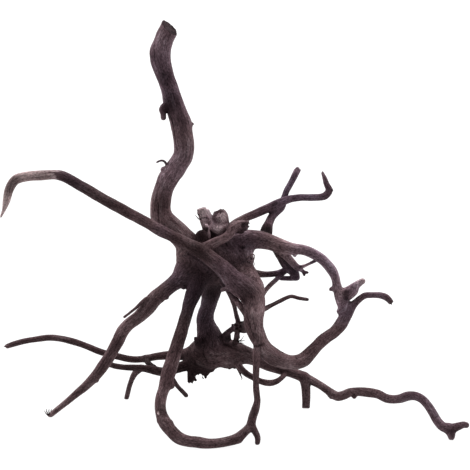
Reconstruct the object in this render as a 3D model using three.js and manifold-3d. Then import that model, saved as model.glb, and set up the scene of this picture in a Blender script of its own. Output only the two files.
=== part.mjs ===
// A spiderwood root: the washed root crown of a shrub, with its sawn trunk and its spread of side roots.
// It grew as one piece of wood, so it is one solid. Millimetres, +Z up, standing on z = 0,
// with the origin under the middle of its box.

import * as THREE from 'three';
import { mergeVertices } from 'three/addons/utils/BufferGeometryUtils.js';
import Module from 'manifold-3d';

// Driving dimensions
const BOARD_SIDE = 470; // the square sighting board that the limbs are plotted on
const EYE_DISTANCE = 1500; // from the eye to the board
const EYE_TILT = THREE.MathUtils.degToRad(10); // how far the eye looks down on the root
const BOARD_CENTRE = new THREE.Vector3(11.15, 11.15, 185.6); // its middle, in the root's own frame

// Fineness of the limbs
const WIDEST_STEP = 14; // a longer step between two waypoints gets a ring of corners half-way
const SIDES = [[3, 5], [5, 6], [7, 7], [9.5, 8], [Infinity, 10]]; // sides by the thickest radius
const TIP_DEPTH = 0.7; // how far back a rounded tip begins, in radii
const TIP_SHARE = 0.5; // what is left of the radius at a rounded tip

// The saw cut across the top of the trunk, as [across, down, toward], and the way its face looks
const TRUNK_CUT = [170, 27.3, 11];
const TRUNK_CUT_FACING = new THREE.Vector3(0.6, -0.25, 0.76);
const CUTTER_SIDE = 60; // the block that takes the end of the trunk off
const FLOOR_BLOCK = new THREE.Vector3(600, 400, 40); // the block that flattens the feet

// Each limb is a list of waypoints [across, down, toward, radius]. The first two are read on the
// sighting board from its upper left corner, the third is how far the wood comes out of the board
// towards the eye, and the radius is as seen on the board.

const TRUNK = [
  [171.6, 13, 11, 8.2], [168.7, 27, 11, 8.9], [163, 41, 10, 9.5], [159.8, 54, 10, 10.9],
  [161.9, 65, 9, 9.9], [166.2, 78, 9, 8.6], [170.3, 90, 8, 8.8], [173.3, 101, 8, 9.6],
  [177.4, 112, 8, 10.2], [180.8, 122, 7, 10.7], [183.3, 135, 6, 10.2], [184.6, 147, 5, 9.8],
  [183, 156, 5, 9.7], [178, 165, 4, 10], [170, 176, 3, 10.4], [164.3, 187, 3, 9.7], [161.2, 200, 3, 10.3],
  [160.4, 210, 3, 10.5], [163.6, 221, 3, 10.8], [174.4, 232.5, 3, 10.5], [188, 247, 2, 11],
  [201, 262, -2, 14],
];

const TRUNK_SPURS = [
  [[171, 107, 10, 5.5], [164.5, 108.8, 12, 5.4], [162, 112.5, 13, 3.4], [162.8, 118.8, 13, 2.6]],
  [[188, 124, 7, 2.6], [193, 123.5, 7, 0.9]],
  [[171, 172, 6, 5], [163.5, 169.5, 8, 2.8], [161.6, 168.5, 9, 1.8]],
  [
    [170, 168.5, 6, 2], [166.3, 164, 8, 1.3], [164.5, 161.4, 9, 1.2], [161.5, 160.4, 9, 1],
    [158.5, 161.1, 9, 0.9], [156, 163, 9, 0.8],
  ],
];

// The slim arm that reaches out to the left, crosses in front of the trunk and swells into the knee
const FRONT_ARM = [
  [0.8, 217, 82, 1], [3.8, 210, 81, 1.9], [6.6, 200, 80, 3.7], [9, 190, 79, 4.3], [15.3, 180, 77, 4.7],
  [25, 176.7, 75, 4.5], [40, 175.5, 71, 4.6], [55, 174.8, 67, 4.5], [64, 176.8, 64, 4.9],
  [80, 185.2, 59, 5.1], [100, 197.2, 52, 5.3], [120, 208.4, 46, 5.3], [135, 216.4, 41, 5.3],
  [150, 224.8, 36, 5.2], [160, 230.2, 32, 5.7], [170, 235.3, 29, 5.4], [180, 240.5, 27, 6],
  [189.5, 245.2, 26, 6], [199, 250, 27, 6.8], [208, 256.5, 29, 7.2], [216.4, 263.4, 32, 7.6],
  [225, 270.6, 35, 8.5], [233.3, 279.4, 38, 10], [243, 287, 41, 11.3], [252.4, 297, 43, 12.2],
  [254.9, 308, 44, 10.5], [253.7, 318, 45, 10], [254.4, 329, 46, 9.2], [258, 340, 47, 8.3],
];

// From the knee the bough sweeps under to the right and ends in a hook
const BOUGH = [
  [255.8, 333, 46, 8.6], [262.4, 347, 46, 9], [270.8, 355, 45, 8.8], [282, 360.8, 43, 7.9],
  [293, 362.6, 40, 7.3], [302.5, 360.8, 36, 7.5], [309.7, 354.7, 31, 7.1], [316.3, 346.3, 26, 6.3],
  [325.2, 337.7, 20, 6.1], [334.6, 331, 14, 6], [341.2, 324, 9, 6.3], [345.7, 315, 6, 6],
  [349.6, 307.5, 6, 5.8], [354, 302.6, 7, 4.9], [358.5, 299, 9, 4.2], [364.5, 295.8, 11, 3.3],
  [372, 295, 14, 3], [380, 295.2, 17, 3.1], [387, 297.4, 19, 3.3], [391.8, 302.6, 20, 2.5],
];

const VERTICAL_ROOT = [
  [258, 342, 48, 6], [256.5, 352, 51, 3.9], [256, 366, 54, 3.4], [256, 380, 57, 3.3],
  [256.5, 392, 60, 3.3], [257.3, 401, 62, 3.4], [255.3, 409, 63.5, 4], [252.5, 417, 65, 4.2],
  [251.2, 425, 66, 4.5], [254.5, 431, 66.5, 3.5], [257.6, 437.5, 67, 2.9], [257.1, 444.6, 67.5, 2.3],
];

// The front leg that comes down from the crown and loops round into the vertical root
const LOOP_LEG = [
  [198, 276, 4, 10.5], [196, 286, 9, 9], [192.9, 295, 16, 7.7], [189.4, 307, 23, 6.6],
  [185.6, 320, 31, 6.4], [181.8, 333, 38, 6.4], [178, 345, 45, 6.6], [173.3, 358, 52, 7],
  [170, 368, 57, 7], [167, 378, 61, 6.8], [163.8, 388, 65, 6], [160.8, 397, 68, 5.5],
  [159.6, 406, 71, 5.5], [161, 415.3, 73, 5.6], [165, 423.8, 75, 6.1], [170.6, 431, 76.5, 6.3],
  [178.4, 437.1, 78, 6.1], [188, 441.1, 78.5, 5.7], [198, 442.3, 78, 5.6], [208, 443.8, 77, 5],
  [218, 443.2, 76, 4.7], [228, 441.4, 74, 4.8], [236.8, 438.7, 72, 5.3], [243.4, 433.4, 70, 4.7],
  [249, 427.4, 67, 4.3], [252, 422, 66, 3.6],
];

const LOOP_LEG_SPUR = [[167, 379, 62, 5.5], [171.5, 385.8, 64, 3.2], [172.3, 388, 64, 1.6]];

const LEFT_LEG = [
  [188, 267, 2, 13.5], [180.8, 277, 5, 10.6], [172, 284.5, 7, 8.5], [163.4, 292.6, 9, 8],
  [154.4, 300.4, 10, 7.7], [146.6, 308, 11, 7.8], [137.7, 317, 10, 7.1], [128.8, 324.4, 8, 6.3],
  [122, 332.4, 6, 6], [117.6, 341.4, 3, 5.9], [112.5, 350.8, 0, 5.8], [107, 360, -3, 5.8],
  [101, 369, -6, 5.6], [94.4, 378.1, -9, 5], [86.5, 385.9, -12, 4.3], [76.5, 394.4, -15, 3.6],
  [66.4, 402.8, -18, 3.1], [57, 409.8, -20, 2.7], [48, 416.4, -22, 2.2],
];

const LEFT_LEG_SPURS = [
  [
    [148, 299, 14, 3], [140.4, 304, 17, 1.6], [134, 309.4, 18, 1.3], [128.6, 314.2, 18, 1.1],
    [123.6, 318.1, 18, 0.9],
  ],
  [[181, 283, 8, 4], [185.5, 291, 9, 1.4]],
  [[165, 294, 10, 4], [167.5, 299, 11, 1.3]],
  [[95, 378, -8, 3], [98, 382, -8, 1.2]],
];

// The stem that goes down and back from the crown to the burl
const STEM = [
  [214, 276, -8, 12], [212.5, 287, -16, 9.6], [210.2, 297, -24, 8.8], [207, 308, -32, 8],
  [205, 318, -40, 8.5], [206.6, 328, -47, 9.8], [210, 338, -54, 13], [213, 350, -58, 16],
];

const BURL = [[194, 354, -60, 8.5], [209, 353.8, -60, 17.4], [226, 354, -60, 14.6], [240, 355, -60, 9.5]];

const BURL_STUBS = [
  [[207, 349, -56, 9], [202.5, 346, -50, 7], [195.4, 338, -44, 5.6]],
  [[196, 358, -58, 10], [193.4, 366, -56, 8.4], [191.6, 373.5, -54, 5.7], [189.7, 381.2, -53, 3.1]],
  [[195, 368, -57, 5], [195.6, 376, -56, 2.6], [196.3, 382, -56, 1.2]],
  [[202, 362, -58, 8], [203, 368, -56, 6.4], [205, 377.4, -55, 2.5]],
  [[228, 364, -59, 6], [229, 370.5, -58, 2.2]],
];

const LEFT_ROOT_LONG = [
  [196, 352.5, -61, 9], [186, 354.2, -64, 6], [176, 354.9, -67, 5], [166, 355.4, -69, 4.3],
  [157, 356.3, -71, 3.8], [148, 358, -73, 3.3], [138, 359.4, -76, 3.2], [128, 358.8, -79, 3.2],
  [118, 356.5, -82, 3.2], [108, 354.2, -85, 3.2], [98, 350.6, -88, 3.2], [88, 346.4, -91, 3.1],
  [75, 341.8, -95, 3.2], [62, 338.9, -99, 3.1], [50, 337.7, -103, 3.1], [35, 339.4, -107, 2.8],
  [22, 341.8, -111, 2.8], [13, 344.3, -113, 2.6], [5.6, 346.8, -115, 2],
];

// The short root runs from the burl to the left leg and has grown onto the back of it
const LEFT_ROOT_SHORT = [
  [200, 362, -60, 8], [187, 364.8, -58, 5.6], [176, 368.8, -56, 4.6], [166, 371.8, -54, 4.6],
  [155, 370.6, -50, 4.2], [145, 368.5, -44, 3.5], [135, 367.7, -37, 3.3], [125, 367.4, -28, 2.8],
  [115, 366, -18, 2.7], [107, 363.5, -9, 2.6],
];

const LEFT_ROOT_TWIGS = [
  [[146, 359, -73, 3], [149, 364, -60, 2.7], [155, 368.5, -51, 3]],
  [
    [141, 368, -43, 3.4], [135, 373.4, -54, 3.2], [131.2, 380, -64, 2.8], [128.8, 388, -74, 2.5],
    [126.4, 398.6, -86, 2.4],
  ],
  [
    [168, 373, -53, 3.6], [174, 381.3, -66, 2.3], [178, 386.8, -76, 2], [182, 391, -84, 2.1],
    [187, 396.3, -93, 2.4],
  ],
];

const RIGHT_ROOT = [
  [226, 354, -60, 12], [240, 354, -60, 9.7], [251, 356.8, -61, 7.9], [262, 362.2, -63, 6.3],
  [275, 367.4, -65, 5.2], [288, 371.5, -66, 4.7], [299, 375.3, -66, 5.1], [309, 379.3, -64, 4.6],
  [320, 385.2, -59, 4.2], [330, 392, -53, 4.4], [337, 396.2, -48, 4.8], [343, 395.3, -43, 4.4],
  [350, 392.4, -37, 4.2], [358, 391.4, -30, 4.5], [368, 392.5, -21, 4.6], [378, 394.3, -13, 4.6],
  [386, 398.2, -5, 4.3], [393, 399.3, 1, 4.2], [400, 398.6, 7, 4.2], [408, 396, 14, 4.6],
  [415.4, 396.2, 20, 4.3], [422.5, 399.5, 27, 4.2], [428.3, 405.7, 33, 4.2], [433, 413, 39, 4.2],
  [437.8, 421.2, 44, 4.3], [443.6, 427.2, 48, 4.6], [451, 428.5, 51, 4.8], [458, 425.7, 54, 3.6],
  [464, 424.6, 56, 3.1], [468.6, 425.8, 57, 2.5],
];

const RIGHT_ROOT_SPURS = [
  [[448, 428, 50, 5], [451, 433.5, 52, 4.5], [451.5, 440.3, 53.5, 2.2]],
  [[304, 377, -66, 5], [305.6, 386, -62, 4.5], [306.6, 397, -56, 4.3], [306.4, 408.2, -50, 3.9]],
  [
    [236, 360, -55, 4], [240.4, 368, -48, 3.2], [246, 373.4, -43, 3.1], [252, 377, -40, 3],
    [259, 380.6, -40, 3], [267, 382.8, -43, 3.1], [275, 382, -49, 2.8], [281, 378.4, -56, 2.5],
    [286, 373, -64, 2.4],
  ],
  [[236, 362, -56, 3], [239, 371, -53, 1.2], [241.4, 377, -52, 0.9]],
  [[330, 393, -52, 4], [331.5, 398.6, -51, 1.8]],
  [[354, 393, -33, 4], [354.5, 398.3, -32, 1.6]],
];

// The arch springs from the crown to the right and has grown onto the bough
const ARCH = [
  [222, 252, -12, 15], [238, 243, -12, 12.4], [252, 240.2, -11, 9.9], [266, 241.3, -10, 8.3],
  [279, 245.3, -8, 7.3], [291, 248.2, -6, 6.2], [303, 249.8, -3, 5.4], [313.4, 253.9, 0, 5.1],
  [322.6, 259.9, 2, 5], [330, 268, 3, 5.2], [334.9, 277, 4, 4.4], [337, 286, 4, 4.6], [340, 296, 5, 5.5],
  [344, 306, 5, 6], [347, 313, 6, 5],
];

const ARCH_SPURS = [
  [
    [343, 298, 6, 6.6], [350, 293.4, 9, 5.9], [355, 287, 11, 4.4], [360, 282.5, 13, 3],
    [363, 280.2, 14, 2.1],
  ],
  [[337, 288, 4, 3.2], [329, 288.3, 2, 1.1]],
  [[294, 250, -5, 3.8], [295, 257.6, -5, 1]],
  [[344, 309, 5, 5], [338, 312.4, 5, 2.4]],
];

// Dead struts behind the arch, with the thin twig that crosses to the knee
const STRUTS = [
  [
    [277, 247, -9, 5], [283.4, 253, -15, 4], [290, 260.4, -24, 3.4], [296.9, 267.3, -33, 3.2],
    [301, 269.5, -37, 2.2],
  ],
  [
    [276, 248, -14, 4.5], [282.4, 258, -28, 4.1], [287.9, 266, -39, 5], [294, 273, -46, 5],
    [297, 279, -49, 3.4],
  ],
  [
    [240, 267, -18, 5], [256, 273.3, -31, 3], [268, 274.2, -38, 2.4], [279, 272.8, -42, 2.5],
    [287, 269, -42, 3],
  ],
  [[297, 279, -48, 3.2], [289, 279, -49, 2.7], [279, 278.4, -50, 2.3]],
  [
    [288, 268.5, -40, 3], [281.2, 274.6, -41, 2.5], [275.9, 279.8, -36, 2.3], [270.2, 285, -24, 2.2],
    [265, 291, -8, 2.2], [261, 298, 12, 2.4], [257, 304, 32, 2.6],
  ],
  [[299, 268, -35, 1.9], [308, 264.4, -20, 1.5], [316.5, 260, -4, 1.6]],
  [[300, 268.5, -37, 1.8], [304, 272, -39, 1.4], [308, 272.4, -40, 1.1]],
  [[303, 271, -38, 1.3], [304.7, 276.2, -40, 0.9]],
];

// Two thin roots at the back that touch, cross and end in the air
const BACK_PAIR = [
  [
    [226, 232, -20, 6.5], [236, 223.6, -27, 4.5], [246, 218, -31, 4], [256, 213.7, -35, 4],
    [266, 209.2, -39, 4.2], [275, 205.2, -42, 4.9], [283, 201.4, -46, 4.4], [291, 198.8, -51, 3.6],
    [301, 197.2, -57, 3.3], [311, 197.2, -63, 3.4], [320, 197, -68, 3.5], [326.4, 195, -71, 3.8],
    [329.9, 190.2, -73, 3.3], [327.1, 184, -75, 2.6], [324.9, 178, -77, 2], [322.3, 172, -79, 1.1],
  ],
  [
    [265, 241, -12, 8], [266.3, 231.5, -19, 6.2], [268.8, 224, -26, 4.3], [271.6, 217.5, -33, 4],
    [276.4, 211, -39, 4.8], [281.6, 205.8, -44, 4.8], [284.5, 198, -50, 3.3], [286.8, 191, -54, 3],
    [291.2, 183, -58, 2.9], [295.3, 175, -62, 2.9], [298.3, 168.8, -65, 2.6],
  ],
];

const KNEE_TWIG = [
  [257, 312, 41, 3.6], [265, 308.6, 33, 2.5], [272, 305, 28, 2.1], [280, 301, 23, 2],
  [287, 297.5, 19, 1.9], [291.5, 296.3, 16, 1.9], [299, 298.2, 12, 1.8], [309.2, 299.7, 7, 1.5],
];

// Thin roots that cross between the arm, the knee and the burl
const CROSS_ROOTS = [
  [
    [224, 283, 31, 6.5], [229.3, 292, 25, 3.1], [233.4, 302, 12, 2.1], [236.3, 312, -4, 1.9],
    [238, 321, -18, 2.3], [238, 327, -25, 3],
  ],
  [[233, 291, 35, 5], [238.2, 301.6, 37, 4], [242.6, 309, 39, 4.2], [248.5, 316, 42, 4]],
  [
    [222, 340, -52, 4.2], [230, 331, -40, 3.2], [237, 327.3, -25, 3.4], [243, 326.6, 0, 5.4],
    [251, 324, 34, 6.5],
  ],
  [[238, 326, -25, 3], [236.5, 333, -36, 3.1], [234.3, 341, -49, 3.5], [232, 349, -57, 3.4]],
];

// The crown, where trunk and roots meet: its body, its rib down to the knee and its shoulder beside the trunk
const CROWN = [
  [
    [188.5, 255.5, 0, 13.2], [195, 262, -2, 14.5], [206, 268, -4, 17], [222, 262, -8, 17],
    [238, 254, -10, 13], [248, 248, -11, 9],
  ],
  [
    [242.5, 250, 2, 8], [246.8, 263, 13, 7.4], [251.8, 276, 26, 7.5], [256.5, 288, 37, 7],
    [257, 298, 41, 7],
  ],
  [
    [166, 218, 2, 7.4], [175.6, 228, 0, 8.2], [181.5, 235.2, 0, 9.4], [187.4, 241.5, 0, 10.4],
    [197, 253, -2, 12],
  ],
];

// Stubs where smaller stems were sawn off, leaning a little to the front
const SAWN_STUBS = [
  [[212, 240, -4, 6.5], [209.6, 231, -3, 5.7], [206.2, 220, -1, 5.3], [202.7, 209.4, 2, 5.2]],
  [[220, 246, -6, 10], [220, 236, -5, 9], [219.5, 224, -3, 8.6], [219.8, 212.8, 1, 7.9]],
];

// Broken stubs: the fork that bridges from the arm to the crown, and the dark peg beside it
const BROKEN_STUBS = [
  [
    [201, 249, 26, 5], [212.5, 243, 23, 4.6], [222, 239, 18, 4.3], [230, 233.4, 12, 5],
    [238, 228, 8, 6.2], [246.5, 225.6, 6, 4.6],
  ],
  [[207, 247, 2, 7], [199, 234.2, 9, 6.2]],
];

// Where a waypoint lies in the root's own frame
function place([across, down, toward]) {
  const shrink = 1 - toward / EYE_DISTANCE;
  const right = (across - BOARD_SIDE / 2) * shrink;
  const up = (BOARD_SIDE / 2 - down) * shrink;
  const back = up * Math.sin(EYE_TILT) - toward * Math.cos(EYE_TILT);
  const height = up * Math.cos(EYE_TILT) + toward * Math.sin(EYE_TILT);
  return new THREE.Vector3(right, back, height).add(BOARD_CENTRE);
}

function trueRadius([, , toward, radius]) {
  return radius * (1 - toward / EYE_DISTANCE);
}

// The rings of a limb, counted in waypoints: one at each, and one half-way along a wide step
function ringsAlong(points, radii, isSawn) {
  const end = points.length - 1;
  const rings = [];
  for (let i = 0; i < end; i++) {
    rings.push({ at: i, share: 1 });
    if (points[i].distanceTo(points[i + 1]) > WIDEST_STEP) rings.push({ at: i + 0.5, share: 1 });
  }
  if (isSawn) return [...rings, { at: end, share: 1 }];
  const setBack = (TIP_DEPTH * radii[end]) / points[end].distanceTo(points[end - 1]);
  return [...rings, { at: end - setBack, share: 1 }, { at: end, share: TIP_SHARE }];
}

function radiusAt(radii, at) {
  const before = Math.min(Math.floor(at), radii.length - 2);
  return THREE.MathUtils.lerp(radii[before], radii[before + 1], at - before);
}

// Cross-section frames that turn as little as they can on their way along the limb
function framesAlong(points, rings) {
  const curve = new THREE.CatmullRomCurve3(points, false, 'centripetal');
  let across = new THREE.Vector3(0.3, 1, 0.2);
  return rings.map(({ at }) => {
    const along = at / (points.length - 1);
    const forward = curve.getTangent(along);
    across = across.clone().addScaledVector(forward, -across.dot(forward)).normalize();
    return { centre: curve.getPoint(along), across, beside: forward.clone().cross(across) };
  });
}

// A closed cylinder bent along the waypoints, as thick at each as the waypoint says
function limbGeometry(route, isSawn) {
  const points = route.map(place);
  const radii = route.map(trueRadius);
  const thickest = Math.max(...radii.slice(1));
  const [, sides] = SIDES.find(([limit]) => thickest < limit);
  const rings = ringsAlong(points, radii, isSawn);
  const frames = framesAlong(points, rings);
  const last = rings.length - 1;
  const geometry = new THREE.CylinderGeometry(1, 1, 1, sides, last);
  const corners = geometry.attributes.position;
  for (let i = 0; i < corners.count; i++) {
    const ring = Math.round((0.5 - corners.getY(i)) * last);
    const { centre, across, beside } = frames[ring];
    const radius = radiusAt(radii, rings[ring].at) * rings[ring].share;
    const corner = centre.clone();
    corner.addScaledVector(across, corners.getX(i) * radius);
    corner.addScaledVector(beside, corners.getZ(i) * radius);
    corners.setXYZ(i, corner.x, corner.y, corner.z);
  }
  return geometry;
}

const wasm = await Module();
wasm.setup();

function solidOf(geometry) {
  geometry.deleteAttribute('normal');
  geometry.deleteAttribute('uv');
  const merged = mergeVertices(geometry);
  const vertProperties = new Float32Array(merged.attributes.position.array);
  const triVerts = new Uint32Array(merged.index.array);
  return new wasm.Manifold(new wasm.Mesh({ numProp: 3, vertProperties, triVerts }));
}

function geometryOf(solid) {
  const mesh = solid.getMesh();
  const geometry = new THREE.BufferGeometry();
  geometry.setAttribute('position', new THREE.BufferAttribute(mesh.vertProperties, 3));
  geometry.setIndex(new THREE.BufferAttribute(mesh.triVerts, 1));
  geometry.computeVertexNormals();
  return geometry;
}

const grownLimb = (route) => solidOf(limbGeometry(route, false));
const sawnLimb = (route) => solidOf(limbGeometry(route, true));
const joined = (solids) => solids.reduce((whole, solid) => whole.add(solid));

// The trunk, sawn off at a slant
function trunk() {
  const facing = TRUNK_CUT_FACING.clone().normalize();
  const block = new THREE.BoxGeometry(CUTTER_SIDE, CUTTER_SIDE, CUTTER_SIDE);
  block.translate(0, 0, CUTTER_SIDE / 2);
  block.applyQuaternion(new THREE.Quaternion().setFromUnitVectors(new THREE.Vector3(0, 0, 1), facing));
  block.translate(...place(TRUNK_CUT));
  return sawnLimb(TRUNK).subtract(solidOf(block));
}

// Takes off what lies below the ground, which leaves small flats under the feet
function setDown(solid) {
  const ground = new THREE.BoxGeometry(...FLOOR_BLOCK);
  ground.translate(0, 0, -FLOOR_BLOCK.z / 2);
  return solid.subtract(solidOf(ground));
}

function root() {
  const grown = [
    FRONT_ARM, BOUGH, VERTICAL_ROOT, LOOP_LEG, LOOP_LEG_SPUR, LEFT_LEG, STEM, BURL, LEFT_ROOT_LONG,
    LEFT_ROOT_SHORT, RIGHT_ROOT, ARCH, KNEE_TWIG, ...TRUNK_SPURS, ...LEFT_LEG_SPURS, ...BURL_STUBS,
    ...LEFT_ROOT_TWIGS, ...RIGHT_ROOT_SPURS, ...ARCH_SPURS, ...STRUTS, ...BACK_PAIR, ...CROSS_ROOTS, ...CROWN,
  ];
  const sawn = [...SAWN_STUBS, ...BROKEN_STUBS];
  return setDown(joined([trunk(), ...grown.map(grownLimb), ...sawn.map(sawnLimb)]));
}

const wood = new THREE.MeshStandardMaterial({ name: 'wood', color: 0x4b3c3b, roughness: 0.85, metalness: 0 });

const spiderwood = new THREE.Group();
const spiderwoodRoot = new THREE.Mesh(geometryOf(root()), wood);
spiderwoodRoot.name = 'spiderwood_root';
spiderwood.add(spiderwoodRoot);

export default spiderwood;
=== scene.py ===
# A spiderwood root as it stands for sale: one washed piece of grown wood on a pale studio floor.
# The limbs are plotted in millimetres; the scene is in metres.

import math

import bmesh
import bpy
import numpy as np
import openvdb
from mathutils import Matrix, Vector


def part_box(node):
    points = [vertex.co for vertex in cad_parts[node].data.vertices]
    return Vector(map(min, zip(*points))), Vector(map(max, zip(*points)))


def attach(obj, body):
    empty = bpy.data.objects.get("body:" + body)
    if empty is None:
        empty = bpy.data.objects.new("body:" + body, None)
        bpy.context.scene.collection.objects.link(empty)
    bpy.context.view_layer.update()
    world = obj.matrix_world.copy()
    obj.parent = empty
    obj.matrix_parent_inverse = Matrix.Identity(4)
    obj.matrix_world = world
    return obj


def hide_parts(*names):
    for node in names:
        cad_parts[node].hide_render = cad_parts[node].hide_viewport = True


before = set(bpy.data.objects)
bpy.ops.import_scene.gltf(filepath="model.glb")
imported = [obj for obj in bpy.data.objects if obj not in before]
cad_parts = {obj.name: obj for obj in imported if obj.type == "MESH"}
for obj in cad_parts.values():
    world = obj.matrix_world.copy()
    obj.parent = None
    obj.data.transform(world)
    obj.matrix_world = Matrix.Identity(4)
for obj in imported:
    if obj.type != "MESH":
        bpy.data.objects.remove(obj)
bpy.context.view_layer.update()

# The camera: a long lens a metre and a half away, looking ten degrees down on the root.
# It faces the middle of the sighting board that the limbs below are plotted on, which fills the picture.
BOARD_SIDE = 470.0
BOARD_CENTRE = np.array([11.15, 11.15, 185.6])
EYE_DISTANCE = 1500.0
EYE_TILT = math.radians(10)
FILM_WIDTH = 36.0
MILLIMETRE = 0.001

toward_eye = np.array([0.0, -math.cos(EYE_TILT), math.sin(EYE_TILT)])
lens = bpy.data.cameras.new("camera")
lens.sensor_width = FILM_WIDTH
lens.lens = FILM_WIDTH * EYE_DISTANCE / BOARD_SIDE
camera = bpy.data.objects.new("camera", lens)
camera.location = (BOARD_CENTRE + EYE_DISTANCE * toward_eye) * MILLIMETRE
camera.rotation_euler = (math.pi / 2 - EYE_TILT, 0, 0)
bpy.context.scene.collection.objects.link(camera)
bpy.context.scene.camera = camera

# The root: the washed root crown of a shrub, dug up and sawn off above the crown. It is one grown piece
# of dark, matt wood, with its trunk, legs, burl and side roots running into each other.

# Each limb is a list of waypoints [across, down, toward, radius]: read on the sighting board from its
# upper left corner, then how far the wood comes out of the board towards the eye, and its radius there.
TRUNK = [
    [172.2, 13, 11, 8.2], [169.8, 27, 11, 9.1], [163.3, 41, 10, 9.4], [160, 54, 10, 10.3],
    [161.6, 65, 9, 9.7], [165.8, 78, 9, 8.6], [169.9, 90, 8, 8.8], [172.9, 101, 8, 9.6],
    [177, 112, 8, 10.2], [180.4, 122, 7, 10.7], [182.9, 135, 6, 10.2], [184.2, 147, 5, 9.8],
    [183.2, 156, 5, 9.6], [178.2, 165, 4, 9.9], [170.4, 176, 3, 10.2], [164.6, 187, 3, 9.5],
    [161.4, 200, 3, 10.1], [160.6, 210, 3, 10.3], [163.2, 221, 3, 10.8], [175.8, 232.5, 3, 9.8],
    [188, 247, 2, 11], [201, 262, -2, 14],
]

TRUNK_SPURS = [
    [
        [171, 107, 10, 5.5], [165.6, 107, 12, 4.6], [162.3, 109.6, 13, 3.4],
        [163.2, 113.4, 13, 2.9], [163.6, 119.8, 13, 2.9],
    ],
    [[189, 124.6, 7, 1.6], [195, 123.6, 7, 0.9]],
    [[171, 172, 6, 5], [163.5, 169.5, 8, 2.8], [161.6, 168.5, 9, 1.8]],
    [
        [170, 168.5, 6, 2], [166.3, 164, 8, 1.3], [164.5, 161.4, 9, 1.2], [161.5, 160.4, 9, 1],
        [158.5, 161.3, 9, 1], [155.4, 163.6, 9, 1],
    ],
]

# The slim arm that reaches out to the left, crosses in front of the trunk and swells into the knee
FRONT_ARM = [
    [0.8, 217, 82, 1], [3.8, 210, 81, 1.9], [6.6, 200, 80, 3.7], [9, 190, 79, 4.3], [15.3, 180, 77, 4.9],
    [25, 176.7, 75, 4.8], [40, 175.5, 71, 4.9], [55, 174.8, 67, 4.8], [64, 176.8, 64, 5.1],
    [80, 185.2, 59, 5.1], [100, 197.2, 52, 5.3], [120, 208.4, 46, 5.3], [135, 216.4, 41, 5.3],
    [150, 224.8, 36, 5.2], [160, 230.2, 32, 5.7], [170, 235.3, 29, 5.4], [180, 240.5, 27, 6],
    [189.5, 245.2, 26, 6], [199, 250, 27, 6.8], [208, 256.5, 29, 7.2], [216.4, 263.4, 32, 7.6],
    [225, 270.6, 35, 8.5], [233.3, 279.4, 38, 10], [243, 287, 41, 11.3], [252.8, 297, 43, 11.7],
    [254.9, 308, 44, 10.5], [253.7, 318, 45, 10], [254.4, 329, 46, 8.8], [258.8, 340, 47, 6.8],
]

# From the knee the bough sweeps under to the right and ends in a hook
BOUGH = [
    [257.5, 334, 46, 7.6], [263.4, 347, 46, 8.2], [271, 355, 45, 8.7], [282, 360.5, 43, 8],
    [293, 362.4, 40, 7.5], [301.8, 360.8, 36, 7.4], [309.3, 354.2, 31, 6.6], [316.3, 346.3, 26, 5.8],
    [325.5, 338, 20, 5.9], [334.9, 331.3, 14, 5.8], [341.2, 324, 9, 6.3], [346, 315, 6, 5.8],
    [349.6, 308.2, 6, 5.4], [354.2, 304, 7, 3.7], [358.6, 299.8, 9, 3.2], [364.5, 295.7, 11, 3.1],
    [372, 295, 14, 2.9], [380, 295.3, 17, 3], [386.6, 297.6, 19, 3.2], [390, 301, 20, 2.8],
    [391.4, 303, 20, 2.6],
]

VERTICAL_ROOT = [
    [258.6, 342, 48, 4.4], [256.6, 352, 51, 3.6], [256.2, 366, 54, 3.3], [256, 380, 57, 3.2],
    [256.5, 392, 60, 3.2], [257.3, 401, 62, 3.3], [255.4, 409, 63.5, 3.9], [252.7, 417, 65, 4.1],
    [251.4, 425, 66, 4.4], [254.7, 431, 66.5, 3.4], [257.7, 437.5, 67, 2.8], [257.2, 445, 67.5, 2.2],
]

# The front leg that comes down from the crown and loops round into the vertical root
LOOP_LEG = [
    [198, 276, 4, 10.5], [196, 286, 9, 9], [192.9, 295, 16, 7.7], [188.6, 307, 23, 6.4],
    [184.8, 320, 31, 6.2], [180.9, 333, 38, 6.2], [177.4, 345, 45, 6.4], [173, 358, 52, 6.9],
    [170, 368, 57, 7], [167, 378, 61, 6.8], [164, 388, 65, 6], [161.2, 397, 68, 5.4],
    [160.2, 406, 71, 5.4], [161.7, 415, 73, 5.6], [165, 422.8, 75, 6.5], [171.1, 430.9, 76.5, 6.1],
    [178.2, 437.4, 78, 6.1], [188, 441.1, 78.5, 5.7], [198, 442.3, 78, 5.6], [208, 443.8, 77, 5],
    [218, 443.2, 76, 4.7], [228, 441.4, 74, 4.8], [237.2, 438.4, 72, 5.3], [243.6, 432.9, 70, 4.4],
    [249, 427.4, 67, 4.3], [252, 422, 66, 3.6],
]

LOOP_LEG_SPURS = [
    [[167, 379, 62, 5.5], [171.5, 385.8, 64, 3.2], [172.3, 388, 64, 1.6]],
    [[237.6, 438.6, 72, 4.6], [241, 441.8, 72, 1.5]],
    [[163.4, 418.4, 74, 5], [160.2, 420.6, 76, 3.2], [160, 422.4, 76, 1.6]],
    [[166.6, 424, 76, 5.4], [170.4, 422.6, 77, 2.6], [172.4, 422.4, 77, 1.2]],
]

LEFT_LEG = [
    [188, 267, 2, 12.4], [181.8, 277, 5, 9.6], [172.4, 284.2, 7, 7.5], [163, 291.9, 9, 7.4],
    [154, 299.6, 10, 7.7], [147, 308.4, 11, 7.4], [138.4, 317.4, 10, 6.1], [128.6, 324.2, 8, 5.9],
    [122, 332.4, 6, 5.9], [117.6, 341.4, 3, 5.9], [112.5, 350.8, 0, 5.8], [107, 360, -3, 5.8],
    [101, 369, -6, 5.6], [94, 377.7, -9, 5], [86.1, 385.5, -12, 4.3], [76.2, 394, -15, 3.6],
    [66.1, 402.5, -18, 3.1], [57, 409.8, -20, 2.7], [48.8, 416.8, -22, 2.2],
]

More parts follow.
